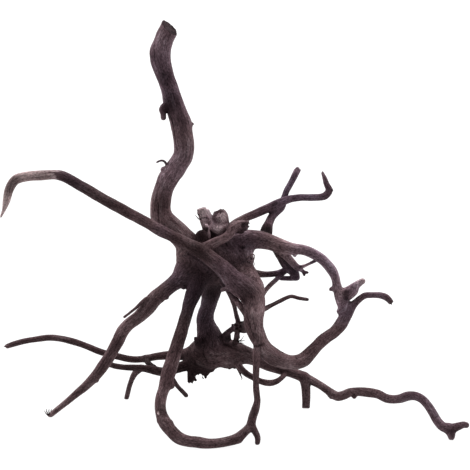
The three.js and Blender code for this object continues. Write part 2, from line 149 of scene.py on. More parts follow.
LEFT_LEG_SPURS = [
    [
        [152, 298, 12, 4], [146, 299.6, 15, 2.7], [141.4, 302.9, 17, 1.9], [136, 307.8, 18, 1.5],
        [130, 312.6, 18, 1.3], [122.8, 318.2, 18, 1.3],
    ],
    [[181, 283, 8, 4], [184.4, 289.4, 9, 1.2]],
    [[165, 294, 10, 4], [167.5, 299, 11, 1.3]],
    [[95, 378, -8, 3], [98, 382, -8, 1.2]],
]

# The stem that goes down and back from the crown to the burl
STEM = [
    [214, 276, -8, 12], [212, 287, -16, 10.2], [210.4, 297, -24, 8.8], [207.8, 308, -32, 7.3],
    [204.9, 318, -40, 8.6], [206.6, 328, -47, 9.8], [210, 338, -54, 13], [213, 350, -58, 16],
]

BURL = [
    [194, 354, -60, 8.5], [207, 353.2, -60, 16.6], [219, 353.2, -60, 15], [228, 353.8, -60, 14],
    [240, 355, -60, 9.5],
]

BURL_STUBS = [
    [[207, 350, -54, 9], [203, 346.6, -48, 6.5], [199, 341.6, -43, 5]],
    [[195, 360, -58, 8], [192.8, 368, -56, 4.6], [191.4, 375, -54, 3.9], [190.2, 382.6, -53, 2.6]],
    [[198, 362, -58, 8], [199.6, 374, -57, 4.4]],
    [[204, 363, -58, 8], [205.4, 372, -56, 4], [205.2, 374.6, -55, 1.8]],
]

# Splinters on the broken ends, and thorns of torn wood
SPLINTERS = [
    [[196.8, 342, -42, 2.2], [195.4, 338, -41, 1.4], [194.6, 335.6, -41, 0.7]],
    [[198.8, 342, -41, 2], [198.6, 337, -40, 1.3], [198.4, 333.8, -40, 0.7]],
    [[201, 343, -41, 2], [200.6, 339.4, -40, 1.2], [200.2, 336.6, -40, 0.7]],
    [[192.4, 376, -54, 2.2], [194.6, 379, -53, 1.4], [197.2, 381.6, -53, 0.8]],
    [[190, 378, -53, 2], [188.6, 381.6, -53, 1.2], [188.4, 384, -53, 0.8]],
    [[205, 373, -55, 1.6], [205.6, 377.6, -55, 1.2], [203.6, 378.8, -55, 0.9]],
    [[210, 366, -57, 5], [212.4, 370.8, -56, 2]],
    [[228, 364, -59, 4], [230.4, 369, -58, 1.2]],
    [[233.6, 363, -58, 4], [235.4, 368.8, -57, 1.2]],
    [[225.4, 337, -46, 2], [227.6, 335, -43, 1.1], [229.6, 334.6, -42, 0.7]],
    [[223.4, 340.4, -48, 2.2], [226.6, 338.8, -44, 1.1], [228.6, 339.2, -43, 0.7]],
    [[226, 337, -46, 2.4], [229.2, 335.8, -43, 1.7], [231, 334.2, -42, 0.9]],
    [[226, 341, -48, 2.6], [229.4, 339.6, -44, 1.7], [231, 337.2, -43, 0.8]],
    [[234.4, 328, -30, 2.4], [232.6, 325, -28, 1.4], [232, 323.4, -28, 0.8]],
    [[236, 340, -46, 2], [238.2, 342, -42, 1.2], [238.8, 343.8, -42, 0.7]],
    [[243, 325, 4, 3], [240.6, 323.2, 10, 2], [239, 322.4, 14, 1]],
    [[244, 330, 6, 3], [241, 330.6, 12, 2.2], [238, 331.8, 16, 1.2]],
    [[240, 326, -10, 3], [236.6, 324.8, -2, 2], [234, 324.4, 2, 1]],
    [[240, 328, -8, 3], [237.4, 328.6, 2, 2.2], [235.4, 329.8, 6, 1]],
    [[244, 327.4, 8, 3.2], [241, 327, 16, 2.6], [239, 326.4, 20, 1.4]],
    [[328.4, 192, -72, 2.6], [331.8, 190, -72, 1.4], [333.2, 188.8, -72, 0.7]],
    [[273, 205.6, -36, 3], [275.6, 202.4, -35, 1.8], [277, 200.2, -35, 0.8]],
    [[243, 224, 9, 2.6], [247, 222.4, 9, 1.6], [249, 223.2, 9, 0.8]],
    [[243, 229, 9, 2.6], [246.4, 229.6, 10, 1.2], [248, 228.6, 10, 0.7]],
    [[237, 231, 10, 2.4], [242, 232.4, 11, 1.2], [245, 231.2, 11, 0.7]],
]

LEFT_ROOT_LONG = [
    [196, 352.5, -61, 9], [186, 354.2, -64, 6], [176, 354.9, -67, 5], [166, 355.4, -69, 4.3],
    [157, 356.3, -71, 3.8], [148, 358, -73, 3.3], [138, 359.4, -76, 3.2], [128, 358.8, -79, 3.2],
    [118, 356.5, -82, 3.2], [108, 354.2, -85, 3.2], [98, 350.9, -88, 3.2], [88, 346.8, -91, 3.1],
    [75, 342.1, -95, 3.2], [62, 338.9, -99, 3.1], [50, 337.7, -103, 3.1], [35, 339.4, -107, 2.8],
    [22, 341.8, -111, 2.8], [13, 344.3, -113, 2.6], [5.6, 346.8, -115, 2],
]

# The short root runs from the burl to the left leg and has grown onto the back of it
LEFT_ROOT_SHORT = [
    [200, 362, -60, 8], [187, 364.8, -58, 5.6], [176, 368.8, -56, 4.6], [166, 371.8, -54, 4.6],
    [155, 370.6, -50, 4.2], [145, 368.5, -44, 3.5], [135, 367.7, -37, 3.3], [125, 367.4, -28, 2.8],
    [115, 366, -18, 2.7], [107, 363.5, -9, 2.6],
]

LEFT_ROOT_TWIGS = [
    [[146, 359, -73, 3], [149, 364, -60, 2.7], [155, 368.5, -51, 3]],
    [
        [141, 368, -43, 3.4], [135, 373.4, -54, 3.2], [131.5, 380, -64, 2.6], [129, 388, -74, 2.4],
        [126.2, 399.4, -86, 2.3],
    ],
    [
        [168, 373, -53, 3.6], [174, 381.3, -66, 2.3], [178, 386.8, -76, 2], [182.2, 391.2, -84, 2],
        [187, 396.4, -93, 2.2],
    ],
]

RIGHT_ROOT = [
    [226, 354, -60, 12], [240, 354, -60, 9.7], [251, 356.8, -61, 7.9], [262, 362.2, -63, 6.3],
    [275, 367.4, -65, 5.2], [288, 371.5, -66, 4.7], [299, 375.3, -66, 5.1], [309, 379.3, -64, 4.3],
    [320, 385.2, -59, 3.9], [330, 392, -53, 4.2], [337, 396.2, -48, 4.8], [343, 395.3, -43, 4.4],
    [350, 392.4, -37, 4.2], [358, 391.7, -30, 4.3], [368, 392.5, -21, 4.6], [378, 394.3, -13, 4.6],
    [386, 398.2, -5, 4.3], [393, 399.3, 1, 4.2], [400, 398.6, 7, 4.2], [408, 396, 14, 4.6],
    [415.4, 396.2, 20, 4.3], [422.5, 399.5, 27, 4.2], [428.3, 405.7, 33, 4.2], [433, 413, 39, 4.2],
    [437.8, 421.2, 44, 4.3], [443.6, 427.2, 48, 4.6], [451, 428.5, 51, 4.8], [458, 426.3, 54, 3.9],
    [464, 424.6, 56, 3.1], [468.6, 425.8, 57, 2.5],
]

RIGHT_ROOT_SPURS = [
    [[448, 428, 50, 5], [451, 433.5, 52, 4.5], [451.5, 440.3, 53.5, 2.2]],
    [[304, 377, -66, 5], [305.6, 386, -62, 4.5], [306.1, 397, -56, 4.2], [305.9, 408.2, -50, 3.8]],
    [
        [236, 360, -55, 4], [240.4, 368, -48, 3.2], [246, 373.4, -43, 3.1], [252, 377, -40, 3],
        [259, 380.6, -40, 3], [267, 382.8, -43, 3.1], [275, 382, -49, 2.8], [281, 378.4, -56, 2.5],
        [286, 373, -64, 2.4],
    ],
    [[236, 362, -56, 3], [239, 371, -53, 1.2], [241.4, 377, -52, 0.9]],
    [[330, 393, -52, 4], [331.5, 398.6, -51, 1.8]],
    [[354, 393, -33, 4], [354.5, 398.3, -32, 1.6]],
]

# The arch springs from the crown to the right and has grown onto the bough
ARCH = [
    [222, 252, -12, 15], [238, 242.4, -12, 12.6], [252, 239.4, -11, 9.7], [266, 241, -10, 7.9],
    [279, 245.4, -8, 7.1], [291, 248.6, -6, 6], [303.2, 249.9, -3, 5.1], [313.5, 253.9, 0, 4.9],
    [322.7, 259.9, 2, 4.9], [330.1, 267.8, 3, 5], [335, 276.9, 4, 4.2], [337, 286, 4, 4.3],
    [340, 296, 5, 5.5], [344, 306, 5, 6], [347, 313, 6, 5],
]

ARCH_SPURS = [
    [
        [343.2, 296, 6, 7], [349, 292.2, 9, 6.2], [354, 287.4, 11, 4.4], [359.6, 283, 13, 3.2],
        [364, 280.2, 14, 2.7],
    ],
    [[346, 297, 8, 4], [351, 294.8, 9.5, 3.4], [354.8, 291.6, 11, 3.3], [356.4, 288.2, 11.5, 2.6]],
    [[337, 288, 4, 4], [332.6, 288.8, 3, 2.4], [328.4, 290, 2, 1]],
    [[294, 250, -5, 3.8], [295, 257.6, -5, 1]],
    [[344, 309, 5, 5], [338, 312.4, 5, 2.4]],
]

# Dead struts behind the arch, with the thin twig that crosses to the knee
STRUTS = [
    [
        [277, 247, -9, 5], [284, 253.4, -13, 4.2], [290.6, 260.6, -22, 3.6], [297, 267.3, -32, 3],
        [301, 269.5, -37, 2.2],
    ],
    [
        [276, 248, -14, 4.5], [281.8, 258.2, -28, 4.4], [287.6, 266.2, -39, 5], [294, 272.6, -46, 4.7],
        [296.6, 278, -49, 3.1],
    ],
    [
        [240, 267, -18, 5], [256, 273.4, -31, 3.5], [268, 274.3, -38, 3], [279, 272.8, -42, 3],
        [287, 269, -42, 3],
    ],
    [[296.6, 278, -48, 2.8], [289, 278.3, -49, 2.4], [279, 278, -50, 2.1]],
    [
        [288, 268.5, -40, 3], [281.2, 274.6, -41, 2.5], [275.9, 279.8, -36, 2.3], [270.2, 285, -24, 2.2],
        [265, 291, -8, 2.2], [261, 298, 12, 2.4], [257, 304, 32, 2.6],
    ],
    [[299, 268, -35, 1.9], [308, 264.4, -20, 1.5], [316.5, 260, -4, 1.6]],
    [[300, 268.5, -37, 1.9], [304, 272, -39, 1.5], [309.2, 272.6, -40, 1.2]],
    [[303, 271, -38, 1.5], [304.8, 277, -40, 1.1]],
]

# Two thin roots at the back that touch, cross and end in the air
BACK_PAIR = [
    [
        [226, 232, -20, 4.6], [236, 223.6, -26, 4.5], [246, 218, -30, 4], [256, 213.7, -33, 4],
        [266, 209.2, -36, 4.2], [275, 205.2, -39, 4.6], [283, 201.4, -43, 4.2], [291, 198.8, -49, 3.6],
        [301, 197.6, -56, 3.2], [311, 197.6, -63, 3.3], [320, 197.3, -68, 3.4], [325.9, 195.2, -71, 3.7],
        [329.1, 190.2, -73, 3.4], [326.5, 184, -75, 2.9], [324.6, 178, -77, 2.3],
        [321.9, 171.4, -79, 1.1],
    ],
    [
        [265.4, 241, -14, 5], [266.2, 231.5, -21, 6], [268.8, 224, -29, 4.3], [271.6, 217.5, -37, 4],
        [276.4, 211, -44, 4.6], [281.4, 205.8, -49, 4.4], [284.3, 198, -53, 3.3], [286.6, 191, -56, 3],
        [291, 183, -59, 2.9], [295, 175, -62, 3.1], [298, 168.8, -65, 3.2],
    ],
]

KNEE_TWIG = [
    [257, 312.4, 41, 3.6], [265, 308.7, 33, 2.6], [272, 305, 28, 2.2], [280, 301, 23, 2.1],
    [287, 297.6, 19, 2], [291.5, 296.3, 16, 1.9], [299, 298.2, 12, 1.8], [309.2, 299.7, 7, 1.5],
]

# Thin roots that cross between the arm, the knee and the burl
CROSS_ROOTS = [
    [
        [224.5, 281.5, 31, 5.2], [228.6, 289, 30, 3.8], [231.6, 296, 27, 3.4], [234.1, 304.6, 12, 2.3],
        [236, 314, -4, 2.2], [237.9, 321, -18, 2.4], [238.4, 327, -25, 3],
    ],
    [[232.6, 295.6, 33, 3], [238.4, 303.4, 38, 3], [243.1, 309.7, 41, 3.2], [249, 317, 44, 4]],
    [
        [221, 340, -52, 4], [229, 331.6, -40, 2.8], [236.4, 327, -25, 3.2], [243, 327.6, 0, 5.5],
        [251, 324, 34, 6.5],
    ],
    [[238, 327, -25, 3], [237.2, 333, -36, 2.7], [235.8, 341, -49, 2.6], [234, 349, -57, 3]],
]

# Pale strands of torn bark: under the arm, down from the slim stub and along the edge of the torn web
STRANDS = [
    [
        [221.4, 289.4, 36, 1.1], [224.4, 288.2, 40, 1.2], [228, 288.4, 44, 1.2], [233, 290.8, 47, 1.1],
        [238.3, 295.6, 49.4, 1], [242.6, 302.4, 50, 1], [247.4, 311, 46, 1.2],
    ],
    [
        [222, 291, 35, 1.1], [225.4, 290.2, 38, 1.1], [229.6, 290.8, 41, 1],
        [233.6, 293.6, 44, 0.9], [237, 297, 46, 0.8],
    ],
    [
        [207.4, 211.4, 4, 2.4], [209.8, 216, 5, 2.2], [211.4, 221, 6, 1.7], [213.4, 224, 8, 1.5],
        [217, 225.6, 11, 1.2],
    ],
    [[206.6, 225.6, 5, 1.7], [210.4, 228.6, 7, 1.5], [214, 231, 9, 1.4], [219, 233, 11, 1.2]],
    [[208.6, 229.6, 9, 1], [209.3, 234, 12, 1.3], [209.4, 239.4, 15, 1.2]],
    [
        [249, 251, -2, 2], [252.2, 255.4, 3, 1.3], [252.6, 260, 5, 1.1], [252, 265, 7, 1.2],
        [253.4, 270, 11, 1.4],
    ],
]

# The roll of bark under the stout stub
ROLL = [[213.6, 226.6, 4, 3.8], [216.6, 228.2, 7, 4.9], [221.6, 228.6, 8, 5.4], [226, 226.2, 6, 4.4]]

# The crown, where trunk and roots meet: its body, the webs that run from it down to the knee,
# and its shoulder beside the trunk
CROWN = [
    [
        [188.5, 255.5, 0, 12.4], [195, 262, -2, 14.2], [206, 268, -4, 17], [222, 262, -8, 17],
        [238, 253, -11, 12.6], [247, 247.4, -12, 8.4],
    ],
    [
        [243, 250, -4, 8], [246.4, 263, 4, 5.4], [251.6, 275, 16, 6], [256.6, 287, 30, 7],
        [257.2, 298, 39, 7],
    ],
    [[226, 250, -10, 13], [236, 262, -5, 12], [243, 273, 6, 10], [249, 285, 20, 10]],
    [[232, 250, -12, 11], [241, 256, -8, 9.6], [244.6, 266, 0, 7], [250.6, 278, 14, 8]],
    [
        [165.7, 218.3, 2, 7.8], [175.2, 228, 0, 8.6], [181.1, 235.2, 0, 9.8], [187, 241.6, 0, 11],
        [197, 253, -2, 12],
    ],
]

# Stubs where smaller stems came off: a slim one that leans to the left, a stout one broken short
STUBS = [
    [[210, 240, -4, 5.8], [207.2, 228, -2, 5], [204.2, 219, 0, 4.7], [201.3, 208.2, 2, 4.6]],
    [
        [221, 241, -14, 10.5], [221.4, 231, -3, 9.4], [221, 223.6, 3, 8.6], [220, 216.8, 7, 8.2],
        [217.9, 213.6, 9, 7.6],
    ],
]

# The fork that leaves the arm, bridges to the crown and is broken off there
FORK = [
    [204, 248, 26, 5], [213, 243.4, 25, 4.8], [222, 239.2, 22, 4.2], [228.6, 235, 17, 4.2],
    [232.6, 228.8, 13, 4.7], [238.4, 225.4, 10, 4.9], [248.6, 225, 8, 4],
]

# The dark peg beside the fork, rounded by wear
PEG = [[207, 247, 2, 7], [203, 239, 7, 7], [200.8, 233.6, 9, 6.9]]


# Where spots [across, down, toward] of the sighting board lie in the root's own frame
def in_the_root(spots):
    spots = np.asarray(spots, float)
    shrink = 1 - spots[..., 2] / EYE_DISTANCE
    right = (spots[..., 0] - BOARD_SIDE / 2) * shrink
    up = (BOARD_SIDE / 2 - spots[..., 1]) * shrink
    back = up * math.sin(EYE_TILT) - spots[..., 2] * math.cos(EYE_TILT)
    height = up * math.cos(EYE_TILT) + spots[..., 2] * math.sin(EYE_TILT)
    return np.stack([right, back, height], axis=-1) + BOARD_CENTRE


# The other way round: where points of the root are seen on the board
def on_the_board(points):
    offsets = points - BOARD_CENTRE
    toward = offsets @ toward_eye
    upright = np.array([0.0, math.sin(EYE_TILT), math.cos(EYE_TILT)])
    shrink = 1 - toward / EYE_DISTANCE
    across = BOARD_SIDE / 2 + offsets[:, 0] / shrink
    down = BOARD_SIDE / 2 - offsets @ upright / shrink
    return np.stack([across, down, toward], axis=-1)


STATION_GAP = 2.0
THINNEST = 0.7
SKIN = 0.18  # added to every radius, because the waypoints were read just inside the edges
TIP_SET_BACK = 0.4  # how far before its last waypoint a round tip is centred, in radii
FILLET_SHARE = 0.3  # how softly a limb runs into the others, in radii of its start
FILLETS = (0.8, 3.5)  # the least and the most of that
FIRST_ACROSS = (0.3, 1.0, 0.2)  # which way the first cross-section of a limb is turned


# Close stations [x, y, z, radius] on a smooth curve through the waypoints
def stations_through(knots):
    ends = 2 * knots[[0, -1]] - knots[[1, -2]]
    padded = np.vstack([ends[:1], knots, ends[1:]])
    gaps = np.sqrt(np.linalg.norm(np.diff(padded[:, :3], axis=0), axis=1))
    stretches = []
    for i in range(len(knots) - 1):
        before, start, end, after = padded[i : i + 4]
        gap_before, gap, gap_after = gaps[i : i + 3]
        straight = end - start
        leave = gap * ((start - before) / gap_before - (end - before) / (gap_before + gap)) + straight
        arrive = straight + gap * ((after - end) / gap_after - (after - start) / (gap + gap_after))
        count = max(1, round(gap * gap / STATION_GAP))
        t = np.arange(count)[:, None] / count
        bend = start * (2 * t**3 - 3 * t**2 + 1) + end * (3 * t**2 - 2 * t**3)
        stretches.append(bend + leave * (t**3 - 2 * t**2 + t) + arrive * (t**3 - t**2))
    return np.vstack(stretches + [knots[-1:]])


# The directions ahead along a line and across it, turning as little as they can
def directions_along(middle):
    ahead = np.gradient(middle, axis=0)
    ahead /= np.linalg.norm(ahead, axis=1, keepdims=True)
    across = np.empty_like(ahead)
    guess = np.array(FIRST_ACROSS)
    for i, forward in enumerate(ahead):
        guess = guess - guess.dot(forward) * forward
        guess /= np.linalg.norm(guess)
        across[i] = guess
    return ahead, across, np.cross(ahead, across)


# A limb: its middle line in close stations, with the directions of its cross-section at each
class Limb:
    def __init__(self, route, end, tone):
        route = np.array(route, float)
        radii = route[:, 3] * (1 - route[:, 2] / EYE_DISTANCE)
        stations = stations_through(np.column_stack([in_the_root(route), radii]))
        self.end = end
        self.tone = tone
        if end == "round":
            to_end = np.linalg.norm(stations[:, :3] - stations[-1, :3], axis=1)
            stays = to_end >= TIP_SET_BACK * stations[-1, 3]
            stays[:2] = True
            stations = stations[stays]
        self.middle = stations[:, :3]
        self.radius = np.maximum(stations[:, 3], THINNEST) + SKIN
        self.fillet = np.clip(FILLET_SHARE * self.radius[0], *FILLETS)
        steps = np.linalg.norm(np.diff(self.middle, axis=0), axis=1)
        self.length = np.concatenate([[0], np.cumsum(steps)])
        self.ahead, self.across, self.beside = directions_along(self.middle)


# How each limb ends, and how light its wood is beside the trunk's
GROWTH = [
    ("round", 1.9, [TRUNK, *TRUNK_SPURS, *CROWN]),
    ("round", 0.7, [STEM, BURL, LEFT_ROOT_SHORT, LEFT_ROOT_TWIGS[2]]),
    ("round", 0.3, [LEFT_ROOT_TWIGS[0]]),
    ("round", 1.6, [LEFT_LEG, *LEFT_LEG_SPURS]),
    ("round", 3.4, [ARCH, *ARCH_SPURS]),
    ("round", 1.25, [LOOP_LEG, *LOOP_LEG_SPURS]),
    ("round", 1.2, [FRONT_ARM, VERTICAL_ROOT, PEG, *STRUTS[2:]]),
    ("round", 1, CROSS_ROOTS[:2]),
    ("round", 0.7, CROSS_ROOTS[2:]),
    ("round", 1.3, [RIGHT_ROOT, *RIGHT_ROOT_SPURS[2:], KNEE_TWIG]),
    ("broken", 1.4, [BOUGH, *BACK_PAIR]),
    ("sawn", 1.2, STUBS[:1]),
    ("broken", 1.2, STUBS[1:]),
    ("sawn", 1.0, [LEFT_ROOT_TWIGS[1], *RIGHT_ROOT_SPURS[:2]]),
    ("broken", 1, [LEFT_ROOT_LONG]),
    ("broken", 0.55, BURL_STUBS),
    ("broken", 2.2, [FORK, STRUTS[0]]),
    ("broken", 0.9, [STRUTS[1]]),
    ("round", 0.55, SPLINTERS),
    ("round", 2, STRANDS[:2]),
    ("round", 3, [ROLL, *STRANDS[2:]]),
]
limbs = [Limb(route, end, tone) for end, tone, routes in GROWTH for route in routes]

# The wood as a grid of distances to its surface, negative inside
CELL = 0.8
SKIRT = 8.0  # how far out from the wood the distances are worked out
FAR = 2 * SKIRT
low_corner, high_corner = [np.array(corner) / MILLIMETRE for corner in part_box("spiderwood_root")]
grid_corner = low_corner - SKIRT
grid_shape = np.ceil((high_corner + SKIRT - grid_corner) / CELL).astype(int) + 1


# The block of grid cells that covers a box, as its first and last cell
def cells_over(low, high):
    first = np.floor((low - grid_corner) / CELL).astype(int)
    last = np.ceil((high - grid_corner) / CELL).astype(int) + 1
    return np.clip(first, 0, grid_shape), np.clip(last, 0, grid_shape)


def cell_places(first, last):
    axes = [grid_corner[k] + CELL * np.arange(first[k], last[k]) for k in range(3)]
    return [axis.astype(np.float32) for axis in np.ix_(*axes)]


def block(first, last):
    return tuple(slice(a, b) for a, b in zip(first, last))


# Distance from the cells to one stretch of a limb, which tapers between two stations
def stretch_distance(places, start, end, radius, end_radius):
    step = (end - start).astype(np.float32)
    x, y, z = [place - np.float32(a) for place, a in zip(places, start)]
    share = np.clip((x * step[0] + y * step[1] + z * step[2]) / step.dot(step), 0, 1)
    reach = (x - share * step[0]) ** 2 + (y - share * step[1]) ** 2 + (z - share * step[2]) ** 2
    return np.sqrt(reach) - (radius + share * np.float32(end_radius - radius))


def limb_distance(limb, first, last):
    distance = np.full(last - first, FAR, np.float32)
    for i in range(len(limb.middle) - 1):
        pair = limb.middle[i : i + 2]
        room = limb.radius[i : i + 2].max() + SKIRT
        low, high = cells_over(pair.min(axis=0) - room, pair.max(axis=0) + room)
        part = distance[block(low - first, high - first)]
        near = stretch_distance(cell_places(low, high), *pair, *limb.radius[i : i + 2])
        np.minimum(part, near, out=part)
    return distance


RIPPLE_WAVES = 16
RIPPLE_SPREAD = 4.0  # draws of this spread over a wavelength give waves of about that length


# Waves of many directions that add up to an even, seeded unrest of about 1
def ripple(places, wavelength, seed):
    draw = np.random.default_rng(seed)
    waves = draw.normal(size=(RIPPLE_WAVES, 3)) * RIPPLE_SPREAD / np.array(wavelength)
    phases = draw.uniform(0, 2 * math.pi, RIPPLE_WAVES)
    return np.sin(places @ waves.T + phases).sum(axis=-1) / math.sqrt(RIPPLE_WAVES / 2)


# Distance beyond a cut through a point that looks along a direction
def beyond_cut(first, last, point, facing):
    x, y, z = cell_places(first, last)
    return (x - point[0]) * facing[0] + (y - point[1]) * facing[1] + (z - point[2]) * facing[2]


SPLINTER_DEPTH = 0.9
SPLINTER_WIDTH = 2.5


# Takes the end off a limb: flat where it was sawn, in splinters where it broke
def cut_end(limb, distance, first, last):
    room = limb.radius[-1] + SKIRT
    tip = limb.middle[-1]
    low, high = cells_over(tip - room, tip + room)
    beyond = beyond_cut(low, high, tip, limb.ahead[-1])
    if limb.end == "broken":
        places = np.stack(np.broadcast_arrays(*cell_places(low, high)), axis=-1) - tip
        sides = np.stack([places @ limb.across[-1], places @ limb.beside[-1], 0 * beyond], axis=-1)
        beyond = beyond + SPLINTER_DEPTH * ripple(sides, [SPLINTER_WIDTH] * 3, seed=11)
    part = distance[block(low - first, high - first)]
    np.maximum(part, beyond, out=part)


def grow_together(whole, limb, fillet):
    closeness = np.maximum(fillet - np.abs(whole - limb), 0) / fillet
    return np.minimum(whole, limb) - closeness * closeness * fillet / 4


wood = np.full(grid_shape, FAR, np.float32)
for limb in limbs:
    room = limb.radius.max() + SKIRT
    first, last = cells_over(limb.middle.min(axis=0) - room, limb.middle.max(axis=0) + room)
    distance = limb_distance(limb, first, last)
    if limb.end != "round":
        cut_end(limb, distance, first, last)
    part = wood[block(first, last)]
    near = distance < SKIRT
    part[near] = grow_together(part[near], distance[near], limb.fillet)

# Hollows where wood rotted or broke out: [across, down, toward, radius]
HOLLOWS = [
    [346.4, 293, 15.5, 3.1], [346.4, 296.4, 14.4, 3.3], [346, 299.4, 12.8, 3],
    [243.4, 225.8, 13.6, 3.4], [246.8, 225.8, 11, 3.1], [255, 335, 56, 2.4], [242.5, 248, 4.4, 2.2],
]
for *spot, radius in HOLLOWS:
    centre = in_the_root(spot)
    first, last = cells_over(centre - radius - SKIRT, centre + radius + SKIRT)
    x, y, z = [place - np.float32(c) for place, c in zip(cell_places(first, last), centre)]
    part = wood[block(first, last)]
    np.maximum(part, radius - np.sqrt(x * x + y * y + z * z), out=part)

# The slanted saw cut at the top of the trunk, and the flats where the feet stand
TRUNK_CUT = [170, 28.5, 11]
TRUNK_CUT_FACING = np.array([0.63, -0.34, 0.70])
CUT_ROOM = 30.0
cut_point = in_the_root(TRUNK_CUT)
cut_facing = TRUNK_CUT_FACING / np.linalg.norm(TRUNK_CUT_FACING)
first, last = cells_over(cut_point - CUT_ROOM, cut_point + CUT_ROOM)
part = wood[block(first, last)]
np.maximum(part, beyond_cut(first, last, cut_point, cut_facing), out=part)
np.maximum(wood, -cell_places([0, 0, 0], grid_shape)[2], out=wood)

grid = openvdb.FloatGrid(FAR)
grid.copyFromArray(wood)
points, quads = grid.convertToQuads(0.0)
points = points.astype(float) * CELL + grid_corner
quads = quads.astype(int)

# The surface, eased a little so that no trace of the grid is left
EASING_ROUNDS = 3
EASING_SHARE = 0.5


def corner_sums(values, faces, count):
    return np.column_stack([
        sum(np.bincount(faces[:, k], values[:, axis], count) for k in range(4)) for axis in range(3)
    ])


def eased(points, faces):
    uses = np.bincount(faces.ravel(), minlength=len(points))[:, None]
    for _ in range(EASING_ROUNDS):
        around = corner_sums(points[faces].mean(axis=1), faces, len(points)) / uses
        points = points + EASING_SHARE * (around - points)
    return points


def outward(points, faces):
    a, b, c, d = [points[faces[:, k]] for k in range(4)]
    normals = corner_sums(np.cross(c - a, d - b), faces, len(points))
    return normals / np.linalg.norm(normals, axis=1, keepdims=True)


points = eased(points, quads)
normals = outward(points, quads)

# The grain: how far across, beside and along its limb each point lies, how thick the limb is there
# and its tone. Where limbs run into each other their grain is mixed, by how close the point is to each.
GRAIN_REACH = 6.0
GRAIN_MIX = 1.0
LEAST_WEIGHT = 1e-12  # so that a point out of reach of every limb divides by something

# Each limb carries on the length of the limb that it springs from
for number, limb in enumerate(limbs[1:], start=1):
    older = limbs[:number]
    gaps = [np.linalg.norm(other.middle - limb.middle[0], axis=1) - other.radius for other in older]
    parent = min(range(number), key=lambda k: gaps[k].min())
    limb.length = limb.length + older[parent].length[gaps[parent].argmin()]


def nearest_station(limb, points):
    apart = (points**2).sum(axis=1)[:, None] - 2 * points @ limb.middle.T + (limb.middle**2).sum(axis=1)
    gaps = np.sqrt(np.maximum(apart, 0)) - limb.radius
    nearest = gaps.argmin(axis=1)
    return nearest, gaps[np.arange(len(points)), nearest]


def grain_at(points):
    grain = np.zeros((len(points), 3))
    girth, tone = np.zeros((2, len(points)))
    total = np.full(len(points), LEAST_WEIGHT)
    for limb in limbs:
        room = limb.radius.max() + GRAIN_REACH
        low, high = limb.middle.min(axis=0) - room, limb.middle.max(axis=0) + room
        here = np.flatnonzero(np.all((points > low) & (points < high), axis=1))
        nearest, gap = nearest_station(limb, points[here])
        offset = points[here] - limb.middle[nearest]
        weight = np.exp(-np.maximum(gap, 0) / GRAIN_MIX)
        directions = [limb.across[nearest], limb.beside[nearest], limb.ahead[nearest]]
        own = np.stack([(offset * direction).sum(axis=1) for direction in directions], axis=1)
        own[:, 2] += limb.length[nearest]
        grain[here] += weight[:, None] * own
        girth[here] += weight * limb.radius[nearest]
        tone[here] += weight * limb.tone
        total[here] += weight
    return grain / total[:, None], girth / total, tone / total


# Grooves seen from the front: [across, down, toward] along each, then its half width and its depth.
# They are painted dark as well: partly the wood's own dark grooves, partly painted shadow lines along
# the edges of the arm where it lies over the crown and the web
GROOVES = [
    (
        [[171.4, 118, 15], [173.2, 126, 15], [174.6, 134, 14], [175.8, 143, 13], [177.4, 150, 13]],
        0.7, 0.9,
    ),
    ([[158.6, 205, 13], [158.4, 214, 13], [159.2, 223, 13]], 0.7, 0.9),
    ([[254, 346, 54], [258, 346.6, 55], [262, 345, 55]], 1.2, 1.6),
    ([[198.5, 219, 6], [205, 217.8, 8], [208.4, 218.6, 6], [210.2, 221, 6], [210.4, 224, 6]], 0.7, 0.9),
    (
        [[188, 254, 8], [193, 257, 8], [199, 260.5, 8], [207, 267, 8], [214, 274, 9], [221, 282, 10]],
        1.2, 0.6,
    ),
    ([[212, 250, 6], [222, 257.5, 6], [230, 264, 8], [238, 271, 13]], 1.8, 0.6),
    ([[246.6, 311, 54], [248.6, 321, 54], [251.4, 330, 54], [254.6, 338, 54]], 0.7, 0.7),
    ([[252, 314, 54], [253.6, 322, 54], [256, 331, 54]], 0.6, 0.5),
    ([[204.6, 345, -42], [203.2, 350, -44], [204, 356, -45], [207, 361, -46]], 0.7, 0.5),
    ([[224, 344, -46], [230, 347.6, -48], [236, 350, -50], [242, 352.4, -52]], 0.8, 0.8),
    ([[112.6, 347, 7], [106.6, 357, 4], [99.6, 368, 0], [95.4, 374, -4]], 0.5, 0.4),
]
GROOVE_ROOM = 10.0  # how far before or behind its line a groove still marks the wood


# How close board places are to a line on the board, as a bell of its half width
def beside_line(board, line, half_width):
    line = np.array(line, float)
    closest = np.full(len(board), np.inf)
    for start, end in zip(line[:-1], line[1:]):
        step = end - start
        share = np.clip((board[:, :2] - start[:2]) @ step[:2] / step[:2].dot(step[:2]), 0, 1)
        apart = np.linalg.norm(board[:, :2] - start[:2] - share[:, None] * step[:2], axis=1)
        too_deep = np.abs(board[:, 2] - start[2] - share * step[2]) > GROOVE_ROOM
        closest = np.minimum(closest, np.where(too_deep, np.inf, apart))
    return np.exp(-((closest / half_width) ** 2))


# The web between the arch and the knee, rough where its bark was torn off
TORN_WEB = [236, 258, 6]
TORN_REACH = 17.0
TORN_FADE = 1.5  # in reaches, where the roughness ends
TEAR_SIZE = (5, 5, 8)
TEAR_HEIGHT = 0.24

# The relief all over: how wide and how long its waves are, and its height, mostly as a share of the
# limb's radius between a least and a most height
LUMP_SIZE = (22, 22, 22)
LUMP_SHARE = 0.025
FLUTE_SIZE = (9, 9, 80)
FLUTE_SHARE = 0.014
FLUTE_HEIGHTS = (0.03, 0.2)
RIDGE_SIZE = (3, 3, 24)
RIDGE_SHARE = 0.008
RIDGE_HEIGHTS = (0.02, 0.08)
FIBRE_SIZE = (1.6, 1.6, 12)
FIBRE_HEIGHT = 0.035
GROOVE_ONSET = 3.0  # how quickly a groove deepens as the wood turns to the front
